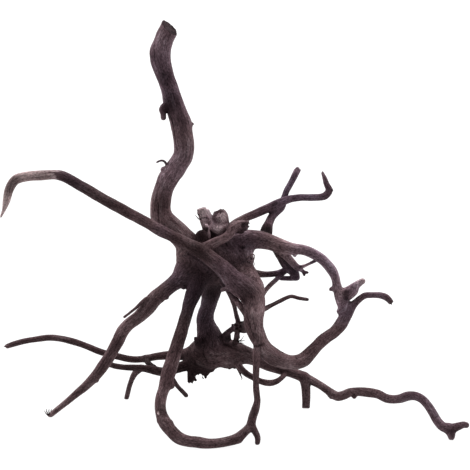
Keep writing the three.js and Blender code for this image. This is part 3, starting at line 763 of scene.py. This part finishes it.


# How far the surface stands proud, and the grooves in it that are painted dark, partly as painted shadow
# lines
def relief_at(points, normals, grain, girth):
    lumps = LUMP_SHARE * girth * ripple(points, LUMP_SIZE, seed=6)
    flutes = ripple(grain, FLUTE_SIZE, seed=1) * np.clip(FLUTE_SHARE * girth, *FLUTE_HEIGHTS)
    ridges = ripple(grain, RIDGE_SIZE, seed=2) * np.clip(RIDGE_SHARE * girth, *RIDGE_HEIGHTS)
    fibres = ripple(grain, FIBRE_SIZE, seed=3) * FIBRE_HEIGHT
    board = on_the_board(points)
    from_web = np.linalg.norm(points - in_the_root(TORN_WEB), axis=1)
    torn = np.clip(TORN_FADE - from_web / TORN_REACH, 0, 1)
    tears = TEAR_HEIGHT * torn * ripple(points, TEAR_SIZE, seed=7)
    facing = np.clip(GROOVE_ONSET * (normals @ toward_eye), 0, 1)
    groove_and_shadow_lines, depth = np.zeros((2, len(points)))
    for line, half_width, deepest in GROOVES:
        groove = facing * beside_line(board, line, half_width)
        depth = np.maximum(depth, deepest * groove)
        groove_and_shadow_lines = np.maximum(groove_and_shadow_lines, groove)
    return lumps + flutes + ridges + fibres + tears - depth, groove_and_shadow_lines


grain, girth, tone = grain_at(points)
relief, _ = relief_at(points, normals, grain, girth)
points = points + normals * relief[:, None]
points[:, 2] = np.maximum(points[:, 2], 0)

# The mesh, thinned to what its bends need
MOST_TRIANGLES = 190000


def mesh_of(name, points, quads):
    mesh = bpy.data.meshes.new(name)
    mesh.vertices.add(len(points))
    mesh.vertices.foreach_set("co", (points * MILLIMETRE).ravel())
    mesh.loops.add(quads.size)
    mesh.loops.foreach_set("vertex_index", quads.ravel())
    mesh.polygons.add(len(quads))
    mesh.polygons.foreach_set("loop_start", np.arange(0, quads.size, 4))
    mesh.update(calc_edges=True)
    return mesh


def thinned(piece, share):
    modifier = piece.modifiers.new("thin", "DECIMATE")
    modifier.ratio = share
    seen = piece.evaluated_get(bpy.context.evaluated_depsgraph_get())
    mesh = bpy.data.meshes.new_from_object(seen)
    mesh.validate()
    piece.modifiers.clear()
    piece.data = mesh


# Drops every loose scrap that a walk from face to face, from the top of the trunk, doesn't reach
def without_scraps(mesh):
    whole = bmesh.new()
    whole.from_mesh(mesh)
    top = max(whole.verts, key=lambda vert: vert.co.z)
    waiting = [top.link_faces[0]]
    reached = set(waiting)
    while waiting:
        beside = {other for edge in waiting.pop().edges for other in edge.link_faces} - reached
        reached |= beside
        waiting.extend(beside)
    scraps = [face for face in whole.faces if face not in reached]
    bmesh.ops.delete(whole, geom=scraps, context="FACES")
    whole.to_mesh(mesh)
    whole.free()


root = bpy.data.objects.new("root_wood", mesh_of("root_wood", points, quads))
bpy.context.scene.collection.objects.link(root)
if 2 * len(quads) > MOST_TRIANGLES:
    thinned(root, MOST_TRIANGLES / (2 * len(quads)))
without_scraps(root.data)
root.data.shade_smooth()

points = np.empty(3 * len(root.data.vertices))
root.data.vertices.foreach_get("co", points)
points = points.reshape(-1, 3) / MILLIMETRE
normals = np.empty(points.size)
root.data.vertex_normals.foreach_get("vector", normals)
normals = normals.reshape(-1, 3)
grain, girth, tone = grain_at(points)
_, groove_and_shadow_lines = relief_at(points, normals, grain, girth)
board = on_the_board(points)

# Painted shade in creases: how deep in a crease points lie, 0 in the open, towards 1 where other wood
# stands close before them
CREASE_SHADE_REACHES = (1.5, 3, 6)
CREASE_SHADE_ONSET = 0.1
CREASE_SHADE_FULL = 0.55


def wood_at(places):
    places = (places - grid_corner) / CELL
    cells = np.clip(np.floor(places).astype(int), 0, grid_shape - 2)
    shares = places - cells
    distance = np.zeros(len(places))
    for corner in np.ndindex(2, 2, 2):
        weight = np.where(corner, shares, 1 - shares).prod(axis=1)
        distance += weight * wood[tuple((cells + corner).T)]
    return distance


def painted_crease_shade_at(points, normals):
    here = wood_at(points)
    shut = [1 - (wood_at(points + reach * normals) - here) / reach for reach in CREASE_SHADE_REACHES]
    return np.clip((np.mean(shut, axis=0) - CREASE_SHADE_ONSET) / (CREASE_SHADE_FULL - CREASE_SHADE_ONSET), 0, 1)


def paint(mesh, name, kind, values):
    layer = mesh.attributes.new(name, kind, "POINT")
    field = "vector" if kind == "FLOAT_VECTOR" else "value"
    layer.data.foreach_set(field, values.astype(np.float32).ravel())


# Spots of the wood [across, down, toward, reach, strength]: bare and pale; black, partly dark wood and
# partly painted shade under the crown, in hollows and beside spurs; weathered to mauve; and how many
# times as light as the rest of its limb, partly the wood's own tone and partly painted light and shade
PALE_SPOTS = [
    [359, 283, 13, 9, 0.4], [203, 213, 2, 12, 0.9], [206, 222, 4, 8, 0.5], [222.5, 216, 16, 9, 0.6],
    [218, 230, 14, 7, 0.3], [158.3, 413.4, 77.6, 1.6, 2],
]
BLACK_AND_SHADOW_SPOTS = [
    [203, 280, 10, 28, 0.85], [214, 290, -10, 18, 0.8], [201, 235, 12, 10, 0.9],
    [168, 109, 14, 9, 0.7], [346.4, 293, 12, 6, 1], [345.8, 298, 11, 6, 1], [245, 226, 12, 6, 1],
    [238, 262, 8, 18, 0.55], [228, 246, 6, 12, 0.6], [212, 236, 4, 9, 0.5], [221, 235, 8, 4, 0.6],
    [199, 341, -42, 6, 1], [255, 335, 55, 3, 1], [242.5, 248, 3, 3.4, 1], [260, 346, 54, 2.5, 1],
    [391.8, 302.4, 20, 3.4, 0.9],
]
MAUVE_SPOTS = [
    [297, 198, -52, 66, 1], [290, 272, -45, 34, 1.1], [322, 262, 2, 44, 0.75],
    [346, 310, 6, 24, 0.7], [207, 310, -30, 50, 0.7], [192, 295, 15, 34, 0.65],
    [178, 278, 10, 20, 0.55], [168, 75, 12, 70, 0.6], [240, 246, -6, 32, 0.55],
    [354, 288, 12, 16, 0.6], [376, 296, 16, 22, 0.6], [430, 408, 34, 70, 0.5],
    [170, 165, 8, 40, 0.4], [205, 265, 6, 26, 0.35], [212, 220, 6, 22, 0.3], [72, 180, 62, 24, 0.4],
    [162, 232, 34, 14, 0.3], [230, 276, 46, 34, 0.4],
]
TONE_AND_PAINTED_LIGHT_SPOTS = [
    # The trunk
    [159, 40, 18, 15, 1.4], [166, 78, 17, 12, 0.45], [171.6, 101, 17, 16, 0.36],
    [183, 148, 14, 13, 1.2], [178, 166, 13, 15, 1.8], [169, 177, 13, 13, 2], [160, 54, 18, 10, 1.3],
    [161, 204, 13, 12, 0.5], [188, 247, 12, 12, 0.7], [176, 227, 6, 8, 0.6],
    [171, 225, 11, 9, 0.65], [190, 149, 8, 8, 0.7], [186, 166, 8, 8, 0.7], [182, 101, 10, 8, 1.6],
    [163, 170, 10, 7, 1.5], [153, 206, 6, 8, 1.5],
    # The arm and the knee
    [2, 213, 82, 7, 1.7], [5, 202, 82, 9, 1.4], [9, 190, 82, 8, 0.65], [15, 181, 80, 7, 0.6],
    [27, 176, 78, 12, 1.4], [54, 174, 70, 9, 1.4], [80, 185, 62, 26, 0.75],
    [108, 202, 54, 20, 0.75], [136, 217, 46, 10, 1.7], [158, 229, 40, 18, 1.75],
    [199, 251, 32, 13, 0.45], [208, 257, 34, 8, 0.8], [233, 280, 46, 13, 1.45],
    [248, 294, 53, 10, 0.65], [257, 309, 52, 16, 3.5], [255, 327, 54, 11, 2.1],
    [257, 296, 48, 8, 1.4], [225, 266, 42, 8, 1.6], [274, 304, 28, 13, 0.5], [263, 337, 52, 8, 1.6],
    [240, 300, 44, 7, 2.4], [13, 185, 80, 8, 0.65],
    # The bough and its hook
    [268, 351, 54, 14, 1.6], [289, 362, 48, 18, 1.7], [312, 351, 34, 12, 0.7],
    [338, 327, 16, 12, 0.9], [360, 299, 12, 14, 1.5], [380, 296, 18, 16, 1.15],
    [306, 363, 35, 9, 0.65], [373, 294, 16, 10, 1.5],
    # The loop and the vertical root
    [193, 297, 22, 16, 0.5], [187, 315, 32, 20, 0.42], [180, 338, 46, 18, 0.6],
    [158.3, 413.4, 77.6, 1.6, 5], [164, 390, 68, 13, 1.6], [162, 398, 74, 14, 1.4],
    [172, 362, 60, 12, 1.1], [167, 423, 80, 12, 1.5], [185, 440, 84, 13, 2],
    [203, 443, 82, 15, 1.9], [218, 443, 80, 12, 1.2], [256, 356, 54, 16, 1.6],
    [251, 412, 67, 9, 0.6], [197, 299, 14, 6, 1.8], [178, 325, 32, 8, 0.6], [169, 433, 78, 8, 1.5],
    [165, 411, 76, 8, 0.6], [198, 447, 82, 6, 0.6],
    # The left leg
    [125, 329, 10, 15, 1.7], [172, 284, 12, 9, 0.7], [95, 379, -4, 16, 1.2],
    [63, 405, -14, 18, 1.8], [130, 312, 18, 12, 1.15], [184, 275, 12, 10, 1.3],
    [49, 415, -20, 8, 2.2],
    # The crown, its stubs and the fork
    [251, 277, 24, 8, 1.6], [247, 247, 0, 9, 0.5], [245, 264, 6, 10, 0.36], [229, 250, 4, 9, 0.75],
    [202, 236, 10, 9, 0.6], [206, 221, 4, 11, 3.2], [219, 222, 9, 10, 2], [212, 233, 9, 6, 1.6],
    [224, 221, 10, 7, 1.6], [251.4, 268, 13, 8, 0.5], [201, 212, 5, 8, 1.8], [236, 222, 14, 8, 1.6],
    [213.4, 218, 12, 4.4, 0.8], [222, 216, 15, 9, 1.8], [221, 226, 13, 9, 1.3],
    # The stem, the burl and the thin roots before it
    [240, 303, 40, 9, 2.2], [228, 338, -44, 7, 0.35], [206, 350, -46, 9, 1.8],
    [222, 354, -44, 24, 2.6], [241, 327.5, -6, 13, 0.25], [246, 326, 20, 8, 0.4],
    [224, 281, 34, 6, 0.5], [219, 292, -12, 7, 1.8], [236, 324, 0, 6, 2.6], [235, 308, 6, 7, 0.55],
    [222, 278, 33, 7, 0.6], [236, 318, -14, 8, 2.6], [199, 336, -41, 7, 2.6],
    # The left roots
    [184, 366, -54, 18, 0.65], [128, 367, -30, 12, 0.65], [118, 356, -80, 32, 0.75],
    [35, 340, -106, 40, 1.25], [7, 346, -113, 8, 1.8],
    # The right root
    [298, 374, -60, 12, 1.5], [316, 383, -56, 14, 1.4], [393, 399, 5, 12, 1.2],
    [442, 425, 50, 12, 1.6], [464, 425, 58, 8, 1.6], [246, 374, -43, 13, 0.6],
    [276, 380, -48, 9, 0.6], [451.6, 438.5, 55, 7, 2.6], [247, 349, -54, 9, 0.5],
    # The arch
    [238, 242, -2, 12, 0.55], [254, 233, -8, 12, 0.6], [252, 239, -2, 14, 0.6],
    [266, 241, -2, 9, 0.85], [291, 248, -2, 22, 1.2], [342, 301, 12, 12, 1.4],
    [332, 272, 8, 10, 0.75], [352, 293, 13, 8, 1.1], [235, 237, 3, 7, 0.6], [335, 296, 6, 7, 0.65],
    [266, 235, -8, 11, 0.6], [347, 288, 12, 6, 1.5],
    # The struts and the back pair
    [266.5, 231, -16, 11, 0.15], [279, 273, -40, 10, 1.6], [289, 279, -46, 8, 1.6],
    [307, 265, -22, 10, 3.4], [310, 263.4, -16, 7, 1.6], [296.6, 170, -63, 9, 2.1],
    [304, 266, -28, 8, 2], [268, 206, -36, 9, 1.8], [272, 220, -34, 9, 0.6],
    [323, 176, -77, 9, 1.6], [285, 194, -54, 8, 0.6], [274, 251, -11, 8, 0.45],
]
SPOT_FULLNESS = 1.4  # above 1, so that a spot has an even middle
BACK_SHADE = 0.6  # painted shade: how much darker the wood is painted on its side turned from the eye, against the bright light from behind
CREASE_SHADE_DARK = 0.56
GROOVE_AND_SHADOW_DARK = 0.8

# The saw face: dark all over, with darker marks
SAW_FACE_TURN = 0.9
SAW_FACE_SHADE = 0.32
SAW_FACE_DARK = 0.45
SAW_MARK_DARK = 0.3
SAW_MARK_SIZE = (5, 5, 5)

# The bared end of the arm: how far across, down and toward it reaches, and its ragged edge
BARE_ARM_ACROSS = 57
BARE_ARM_DOWN = 230
BARE_ARM_TOWARD = 50
RAGGED_DEPTH = 4
RAGGED_SIZE = (3, 3, 40)


# How much of a spot is felt at each point, from 1 in its middle to 0 at its reach
def felt(across, down, toward, reach):
    apart = np.linalg.norm(points - in_the_root([across, down, toward]), axis=1) / reach
    return np.clip(SPOT_FULLNESS * (1 - apart), 0, 1)


def spots(rows):
    worn = np.zeros(len(points))
    for *spot, strength in rows:
        worn = np.maximum(worn, strength * felt(*spot))
    return np.clip(worn, 0, 1)


# Painted light and shade, with the wood's own tone: each spot makes its limb lighter or darker
for *spot, shade in TONE_AND_PAINTED_LIGHT_SPOTS:
    tone = tone * shade ** felt(*spot)
near_cut = np.linalg.norm(points - cut_point, axis=1) < CUT_ROOM / 2
saw_face = near_cut & (normals @ cut_facing > SAW_FACE_TURN)
# Painted shade on the side turned from the eye, so that the bright light from behind doesn't make it
# pale
turned_away = np.clip(-(normals @ toward_eye), 0, 1)
tone = tone * np.where(saw_face, SAW_FACE_SHADE, 1) * (1 - BACK_SHADE * turned_away)
# Painted shade in the creases: the wood is painted darker the deeper in a crease it lies
painted_crease_shade = CREASE_SHADE_DARK * painted_crease_shade_at(points, normals)
saw_marks = saw_face * (SAW_FACE_DARK + SAW_MARK_DARK * ripple(points, SAW_MARK_SIZE, seed=12))
from_middle = np.clip(np.hypot(grain[:, 0], grain[:, 1]) / girth, 0, 1)
ragged_edge = BARE_ARM_ACROSS + RAGGED_DEPTH * from_middle * ripple(grain, RAGGED_SIZE, seed=8)
on_the_arm = (board[:, 2] > BARE_ARM_TOWARD) & (board[:, 1] < BARE_ARM_DOWN)
bare_arm = np.clip(ragged_edge - board[:, 0], 0, 1) * on_the_arm
paint(root.data, "grain", "FLOAT_VECTOR", grain)
paint(root.data, "tone", "FLOAT", tone)
paint(root.data, "mauve", "FLOAT", spots(MAUVE_SPOTS))
paint(root.data, "pale", "FLOAT", np.maximum(spots(PALE_SPOTS), bare_arm))
# The dark paint: black wood and painted shade from the spots, dark grooves and painted shadow lines, saw
# marks, and the painted shade in creases
dark = np.max([spots(BLACK_AND_SHADOW_SPOTS), GROOVE_AND_SHADOW_DARK * groove_and_shadow_lines, saw_marks, painted_crease_shade], axis=0)
paint(root.data, "dark", "FLOAT", dark)


# The wood's finish: matt, dark brown with a touch of mauve, streaked along the grain
def node(tree, kind, **settings):
    made = tree.nodes.new(kind)
    for name, value in settings.items():
        setattr(made, name, value)
    return made


def grain_noise(tree, grain, stretch, detail, roughness):
    mapping = node(tree, "ShaderNodeMapping")
    mapping.inputs["Scale"].default_value = stretch
    tree.links.new(grain, mapping.inputs["Vector"])
    noise = node(tree, "ShaderNodeTexNoise")
    noise.inputs["Scale"].default_value = 1.0
    noise.inputs["Detail"].default_value = detail
    noise.inputs["Roughness"].default_value = roughness
    tree.links.new(mapping.outputs["Vector"], noise.inputs["Vector"])
    return noise.outputs["Fac"]


def ramp(tree, value, stops):
    made = node(tree, "ShaderNodeValToRGB")
    while len(made.color_ramp.elements) < len(stops):
        made.color_ramp.elements.new(0.5)
    for element, (place, colour) in zip(made.color_ramp.elements, stops):
        element.position = place
        element.color = (*colour, 1)
    tree.links.new(value, made.inputs["Fac"])
    return made.outputs["Color"]


# Gives a socket a fixed value or the output of another node
def feed(tree, value, socket):
    if isinstance(value, bpy.types.NodeSocket):
        tree.links.new(value, socket)
    else:
        socket.default_value = value


MIX_SOCKETS = (0, 6, 7)  # the share and the two colours that a mix node takes
MIX_RESULT = 2


def mixed(tree, share, a, b, blend="MIX"):
    made = node(tree, "ShaderNodeMix", data_type="RGBA", blend_type=blend)
    for value, number in zip((share, a, b), MIX_SOCKETS):
        feed(tree, value, made.inputs[number])
    return made.outputs[MIX_RESULT]


def maths(tree, operation, a, b):
    made = node(tree, "ShaderNodeMath", operation=operation)
    for value, socket in zip((a, b), made.inputs):
        feed(tree, value, socket)
    return made.outputs[0]


# Colours along the streaks, from the darkest to the lightest, and the casts that tint them
DARK_WOOD = [(0.34, (0.032, 0.016, 0.019)), (0.5, (0.077, 0.044, 0.049)), (0.66, (0.146, 0.101, 0.110))]
WORN_WOOD = [(0.34, (0.17, 0.110, 0.116)), (0.5, (0.285, 0.200, 0.208)), (0.66, (0.40, 0.310, 0.315))]
# The black of dark wood, cracks and hollows, also used for painted shade
BLACK_OF_WOOD_AND_SHADE = (0.024, 0.0125, 0.0145, 1)
BROWN_CAST = (0.975, 1.013, 0.975, 1)
MAUVE_CAST = (0.946, 1.033, 1.283, 1)
CRACK = [(0.482, (0, 0, 0)), (0.5, (1, 1, 1)), (0.518, (0, 0, 0))]
CRACKED = [(0.5, (0, 0, 0)), (0.62, (0.8, 0.8, 0.8))]

# Noises in the grain's own directions: repeats a millimetre across, beside and along it
FINE_GRAIN = {"stretch": (0.9, 0.9, 0.05), "detail": 3, "roughness": 0.6}
MOTTLE = {"stretch": (0.22, 0.22, 0.1), "detail": 4, "roughness": 0.6}
PATCHES = {"stretch": (0.05, 0.05, 0.025), "detail": 3, "roughness": 0.5}
CRACK_LINES = {"stretch": (0.25, 0.25, 0.012), "detail": 2, "roughness": 0.5}
CRACKED_PLACES = {"stretch": (0.09, 0.09, 0.03), "detail": 2, "roughness": 0.5}
SPECKS = {"stretch": (1.0, 1.0, 0.45), "detail": 1, "roughness": 0.5}
MOTTLE_SHARE = 0.32
PATCH_SHARE = 0.4
SPECKLE = 2.4  # how strongly the specks lighten and darken the wood

# How strong the colour is: full in dark wood, greyer as the wood gets lighter
FULL_COLOUR = 1.12
GREYING = 0.09
LEAST_COLOUR = 0.85

WOOD_GLOSS = 0.03
WOOD_ROUGHNESS = 0.7
BUMP_STRENGTH = 0.8
BUMP_HEIGHT = 1.0 * MILLIMETRE

finish = bpy.data.materials.new("spiderwood")
finish.use_nodes = True
tree = finish.node_tree
shader = tree.nodes["Principled BSDF"]
shader.inputs["Specular IOR Level"].default_value = WOOD_GLOSS
shader.inputs["Roughness"].default_value = WOOD_ROUGHNESS
painted = {}
for name in ("grain", "tone", "pale", "dark", "mauve"):
    layer = node(tree, "ShaderNodeAttribute", attribute_name=name)
    painted[name] = layer.outputs["Vector" if name == "grain" else "Fac"]
fine = grain_noise(tree, painted["grain"], **FINE_GRAIN)
mottle = grain_noise(tree, painted["grain"], **MOTTLE)
patches = grain_noise(tree, painted["grain"], **PATCHES)
streaks = mixed(tree, PATCH_SHARE, mixed(tree, MOTTLE_SHARE, fine, mottle), patches)
crack = ramp(tree, grain_noise(tree, painted["grain"], **CRACK_LINES), CRACK)
cracked = ramp(tree, grain_noise(tree, painted["grain"], **CRACKED_PLACES), CRACKED)
crack = mixed(tree, 1.0, crack, cracked, "MULTIPLY")
colour = mixed(tree, painted["pale"], ramp(tree, streaks, DARK_WOOD), ramp(tree, streaks, WORN_WOOD))
# Darkened where black wood or painted shade was put
colour = mixed(tree, painted["dark"], colour, BLACK_OF_WOOD_AND_SHADE)
colour = mixed(tree, crack, colour, BLACK_OF_WOOD_AND_SHADE)
colour = mixed(tree, 1.0, colour, painted["tone"], "MULTIPLY")
speckle = grain_noise(tree, painted["grain"], **SPECKS)
speckle = maths(tree, "ADD", maths(tree, "MULTIPLY", speckle, SPECKLE), 1 - SPECKLE / 2)
colour = mixed(tree, 1.0, colour, speckle, "MULTIPLY")
cast = mixed(tree, painted["mauve"], BROWN_CAST, MAUVE_CAST)
colour = mixed(tree, 1.0, colour, cast, "MULTIPLY")
greyed = node(tree, "ShaderNodeHueSaturation")
strength = maths(tree, "SUBTRACT", FULL_COLOUR, maths(tree, "MULTIPLY", painted["tone"], GREYING))
tree.links.new(maths(tree, "MAXIMUM", strength, LEAST_COLOUR), greyed.inputs["Saturation"])
tree.links.new(colour, greyed.inputs["Color"])
tree.links.new(greyed.outputs["Color"], shader.inputs["Base Color"])
bump = node(tree, "ShaderNodeBump")
bump.inputs["Strength"].default_value = BUMP_STRENGTH
bump.inputs["Distance"].default_value = BUMP_HEIGHT
tree.links.new(mixed(tree, 1.0, streaks, crack, "SUBTRACT"), bump.inputs["Height"])
tree.links.new(bump.outputs["Normal"], shader.inputs["Normal"])
root.data.materials.clear()
root.data.materials.append(finish)

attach(root, "root")
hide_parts("spiderwood_root")

# The torn fibres and root hairs: thin, dark strands of the same wood that stand off its broken places.
# Each has its tone and a curl through waypoints [across, down, toward], thinning to its end.
HAIRS = [
    (0.7, [[201, 219.4, 4], [198.4, 218.8, 6], [196.8, 216.8, 7], [195.2, 215, 7]]),
    (0.7, [[200, 216, 3], [198, 214.4, 5], [197, 212.4, 5]]),
    (2.6, [
        [250, 256, 5], [252.8, 253.8, 8], [254.6, 255.4, 9], [254.2, 258.6, 9], [253.6, 261.6, 8],
        [254.6, 264.4, 8], [253.2, 267, 8],
    ]),
    (2.6, [[246, 258.6, 6], [249, 256.2, 11], [252.8, 256.6, 11], [254.2, 260, 9]]),
    (2.6, [[246, 262, 6], [249.4, 260, 12], [251.8, 262, 12], [251.6, 266, 11]]),
    (1, [[48.6, 414.6, -20], [46.6, 411.4, -19], [46.4, 408.8, -18]]),
    (1, [[49.6, 414, -20], [48.8, 411, -20], [49.2, 408.6, -20]]),
    (1, [[50.6, 413.2, -21], [51, 410.8, -22], [52, 409, -23]]),
    (1, [[48, 415.4, -20], [45.6, 413, -19], [44.4, 410.6, -19]]),
    (0.5, [[237, 341, -44], [240.4, 340.6, -41], [242.2, 338.6, -40], [243.6, 336, -40]]),
    (0.5, [[237.6, 343, -44], [241, 342.8, -41], [243.8, 343.4, -40]]),
    (0.5, [[237, 339.6, -43], [239.6, 338, -40], [240, 335.6, -40]]),
    (0.5, [[239, 341, -42], [242, 341, -40], [245, 340, -39]]),
    (0.5, [[240, 374, -51], [242, 378.4, -50], [241.6, 380, -50]]),
    (0.5, [[203.4, 378.6, -54], [202.4, 377.4, -53], [202.8, 375.8, -53]]),
]
HAIR_THICKNESS = 1.4
HAIR_TIP = HAIR_THICKNESS / 3
HAIR_SIDES = 6
HAIR_CAP = np.array([[0, 1, 2, 3], [0, 3, 4, 5]])  # two faces that close an end


# One strand as a closed tube: its points and faces
def hair(route):
    bends = in_the_root(route)
    thickness = np.linspace(HAIR_THICKNESS, HAIR_TIP, len(bends))
    stations = stations_through(np.column_stack([bends, thickness / 2]))
    ahead, across, beside = directions_along(stations[:, :3])
    turns = 2 * math.pi * np.arange(HAIR_SIDES) / HAIR_SIDES
    rings = np.cos(turns)[:, None] * across[:, None] + np.sin(turns)[:, None] * beside[:, None]
    points = (stations[:, None, :3] + stations[:, None, 3:] * rings).reshape(-1, 3)
    starts = HAIR_SIDES * np.arange(len(stations) - 1)[:, None]
    here = starts + np.arange(HAIR_SIDES)
    beyond = starts + (np.arange(HAIR_SIDES) + 1) % HAIR_SIDES
    sides = np.stack([here, beyond, beyond + HAIR_SIDES, here + HAIR_SIDES], axis=-1).reshape(-1, 4)
    return points, np.vstack([HAIR_CAP[:, ::-1], sides, HAIR_CAP + len(points) - HAIR_SIDES])


strands = [hair(route) for _, route in HAIRS]
counts = [len(strand_points) for strand_points, _ in strands]
starts = np.cumsum(counts) - counts
hair_points = np.vstack([strand_points for strand_points, _ in strands])
hair_quads = np.vstack([strand_quads + start for (_, strand_quads), start in zip(strands, starts)])
hair_tones = np.repeat([hair_tone for hair_tone, _ in HAIRS], counts)
hairs = bpy.data.objects.new("torn_fibres", mesh_of("torn_fibres", hair_points, hair_quads))
bpy.context.scene.collection.objects.link(hairs)
hairs.data.shade_smooth()
hairs.data.materials.append(finish)
paint(hairs.data, "grain", "FLOAT_VECTOR", hair_points)
paint(hairs.data, "tone", "FLOAT", hair_tones)
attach(hairs, "root")

# The studio: a wide floor of white paper, lit from below so that no shadow shows on it, in a white room.
# The room is dim towards the eye and bright all round and above, so that limbs are dark in their middle
# and light along their edges. What the camera sees of it is plain white.
FLOOR_HALF = 40.0
PAPER_COLOUR = (0.1, 0.1, 0.1, 1)
PAPER_ROUGHNESS = 0.9
PAPER_GLOW = 0.93
WHITE = (1, 1, 1, 1)

floor_mesh = bpy.data.meshes.new("floor")
corners = [(x * FLOOR_HALF, y * FLOOR_HALF, 0) for x, y in ((-1, -1), (1, -1), (1, 1), (-1, 1))]
floor_mesh.from_pydata(corners, [], [(0, 1, 2, 3)])
floor = bpy.data.objects.new("floor", floor_mesh)
bpy.context.scene.collection.objects.link(floor)
paper = bpy.data.materials.new("paper")
paper.use_nodes = True
surface = paper.node_tree.nodes["Principled BSDF"].inputs
surface["Base Color"].default_value = PAPER_COLOUR
surface["Roughness"].default_value = PAPER_ROUGHNESS
surface["Emission Color"].default_value = WHITE
surface["Emission Strength"].default_value = PAPER_GLOW
floor_mesh.materials.append(paper)
floor.visible_diffuse = False  # its glow isn't cast on the wood

# The room's light: from one side to the other of a range [low, high], it goes smoothly from a first
# strength to a second. The eye's side and the far side are -1 and 1, and so are below and above.
ROUND_THE_ROOT = (-1.0, 0.6, 0.06, 2.4)
BEHIND_THE_ROOT = (0.4, 1.0, 1.0, 0.6)
BELOW_TO_ABOVE = (-1.0, 1.0, 0.6, 1.4)


def ranged(tree, value, limits):
    made = node(tree, "ShaderNodeMapRange", interpolation_type="SMOOTHSTEP")
    tree.links.new(value, made.inputs[0])
    for socket, limit in zip(made.inputs[1:5], limits):
        socket.default_value = limit
    return made.outputs[0]


sky = bpy.data.worlds.new("white_studio")
sky.use_nodes = True
tree = sky.node_tree
direction = node(tree, "ShaderNodeTexCoord").outputs["Generated"]
from_eye = node(tree, "ShaderNodeVectorMath", operation="DOT_PRODUCT")
from_eye.inputs[1].default_value = -toward_eye
tree.links.new(direction, from_eye.inputs[0])
height = node(tree, "ShaderNodeSeparateXYZ")
tree.links.new(direction, height.inputs[0])
around = ranged(tree, from_eye.outputs["Value"], ROUND_THE_ROOT)
behind = ranged(tree, from_eye.outputs["Value"], BEHIND_THE_ROOT)
above = ranged(tree, height.outputs["Z"], BELOW_TO_ABOVE)
light = maths(tree, "MULTIPLY", maths(tree, "MULTIPLY", around, behind), above)
seen = node(tree, "ShaderNodeLightPath").outputs["Is Camera Ray"]
unseen = maths(tree, "SUBTRACT", 1.0, seen)
light = maths(tree, "ADD", maths(tree, "MULTIPLY", light, unseen), seen)
tree.nodes["Background"].inputs["Color"].default_value = WHITE
tree.links.new(light, tree.nodes["Background"].inputs["Strength"])
bpy.context.scene.world = sky
bpy.context.scene.view_settings.view_transform = "Standard"
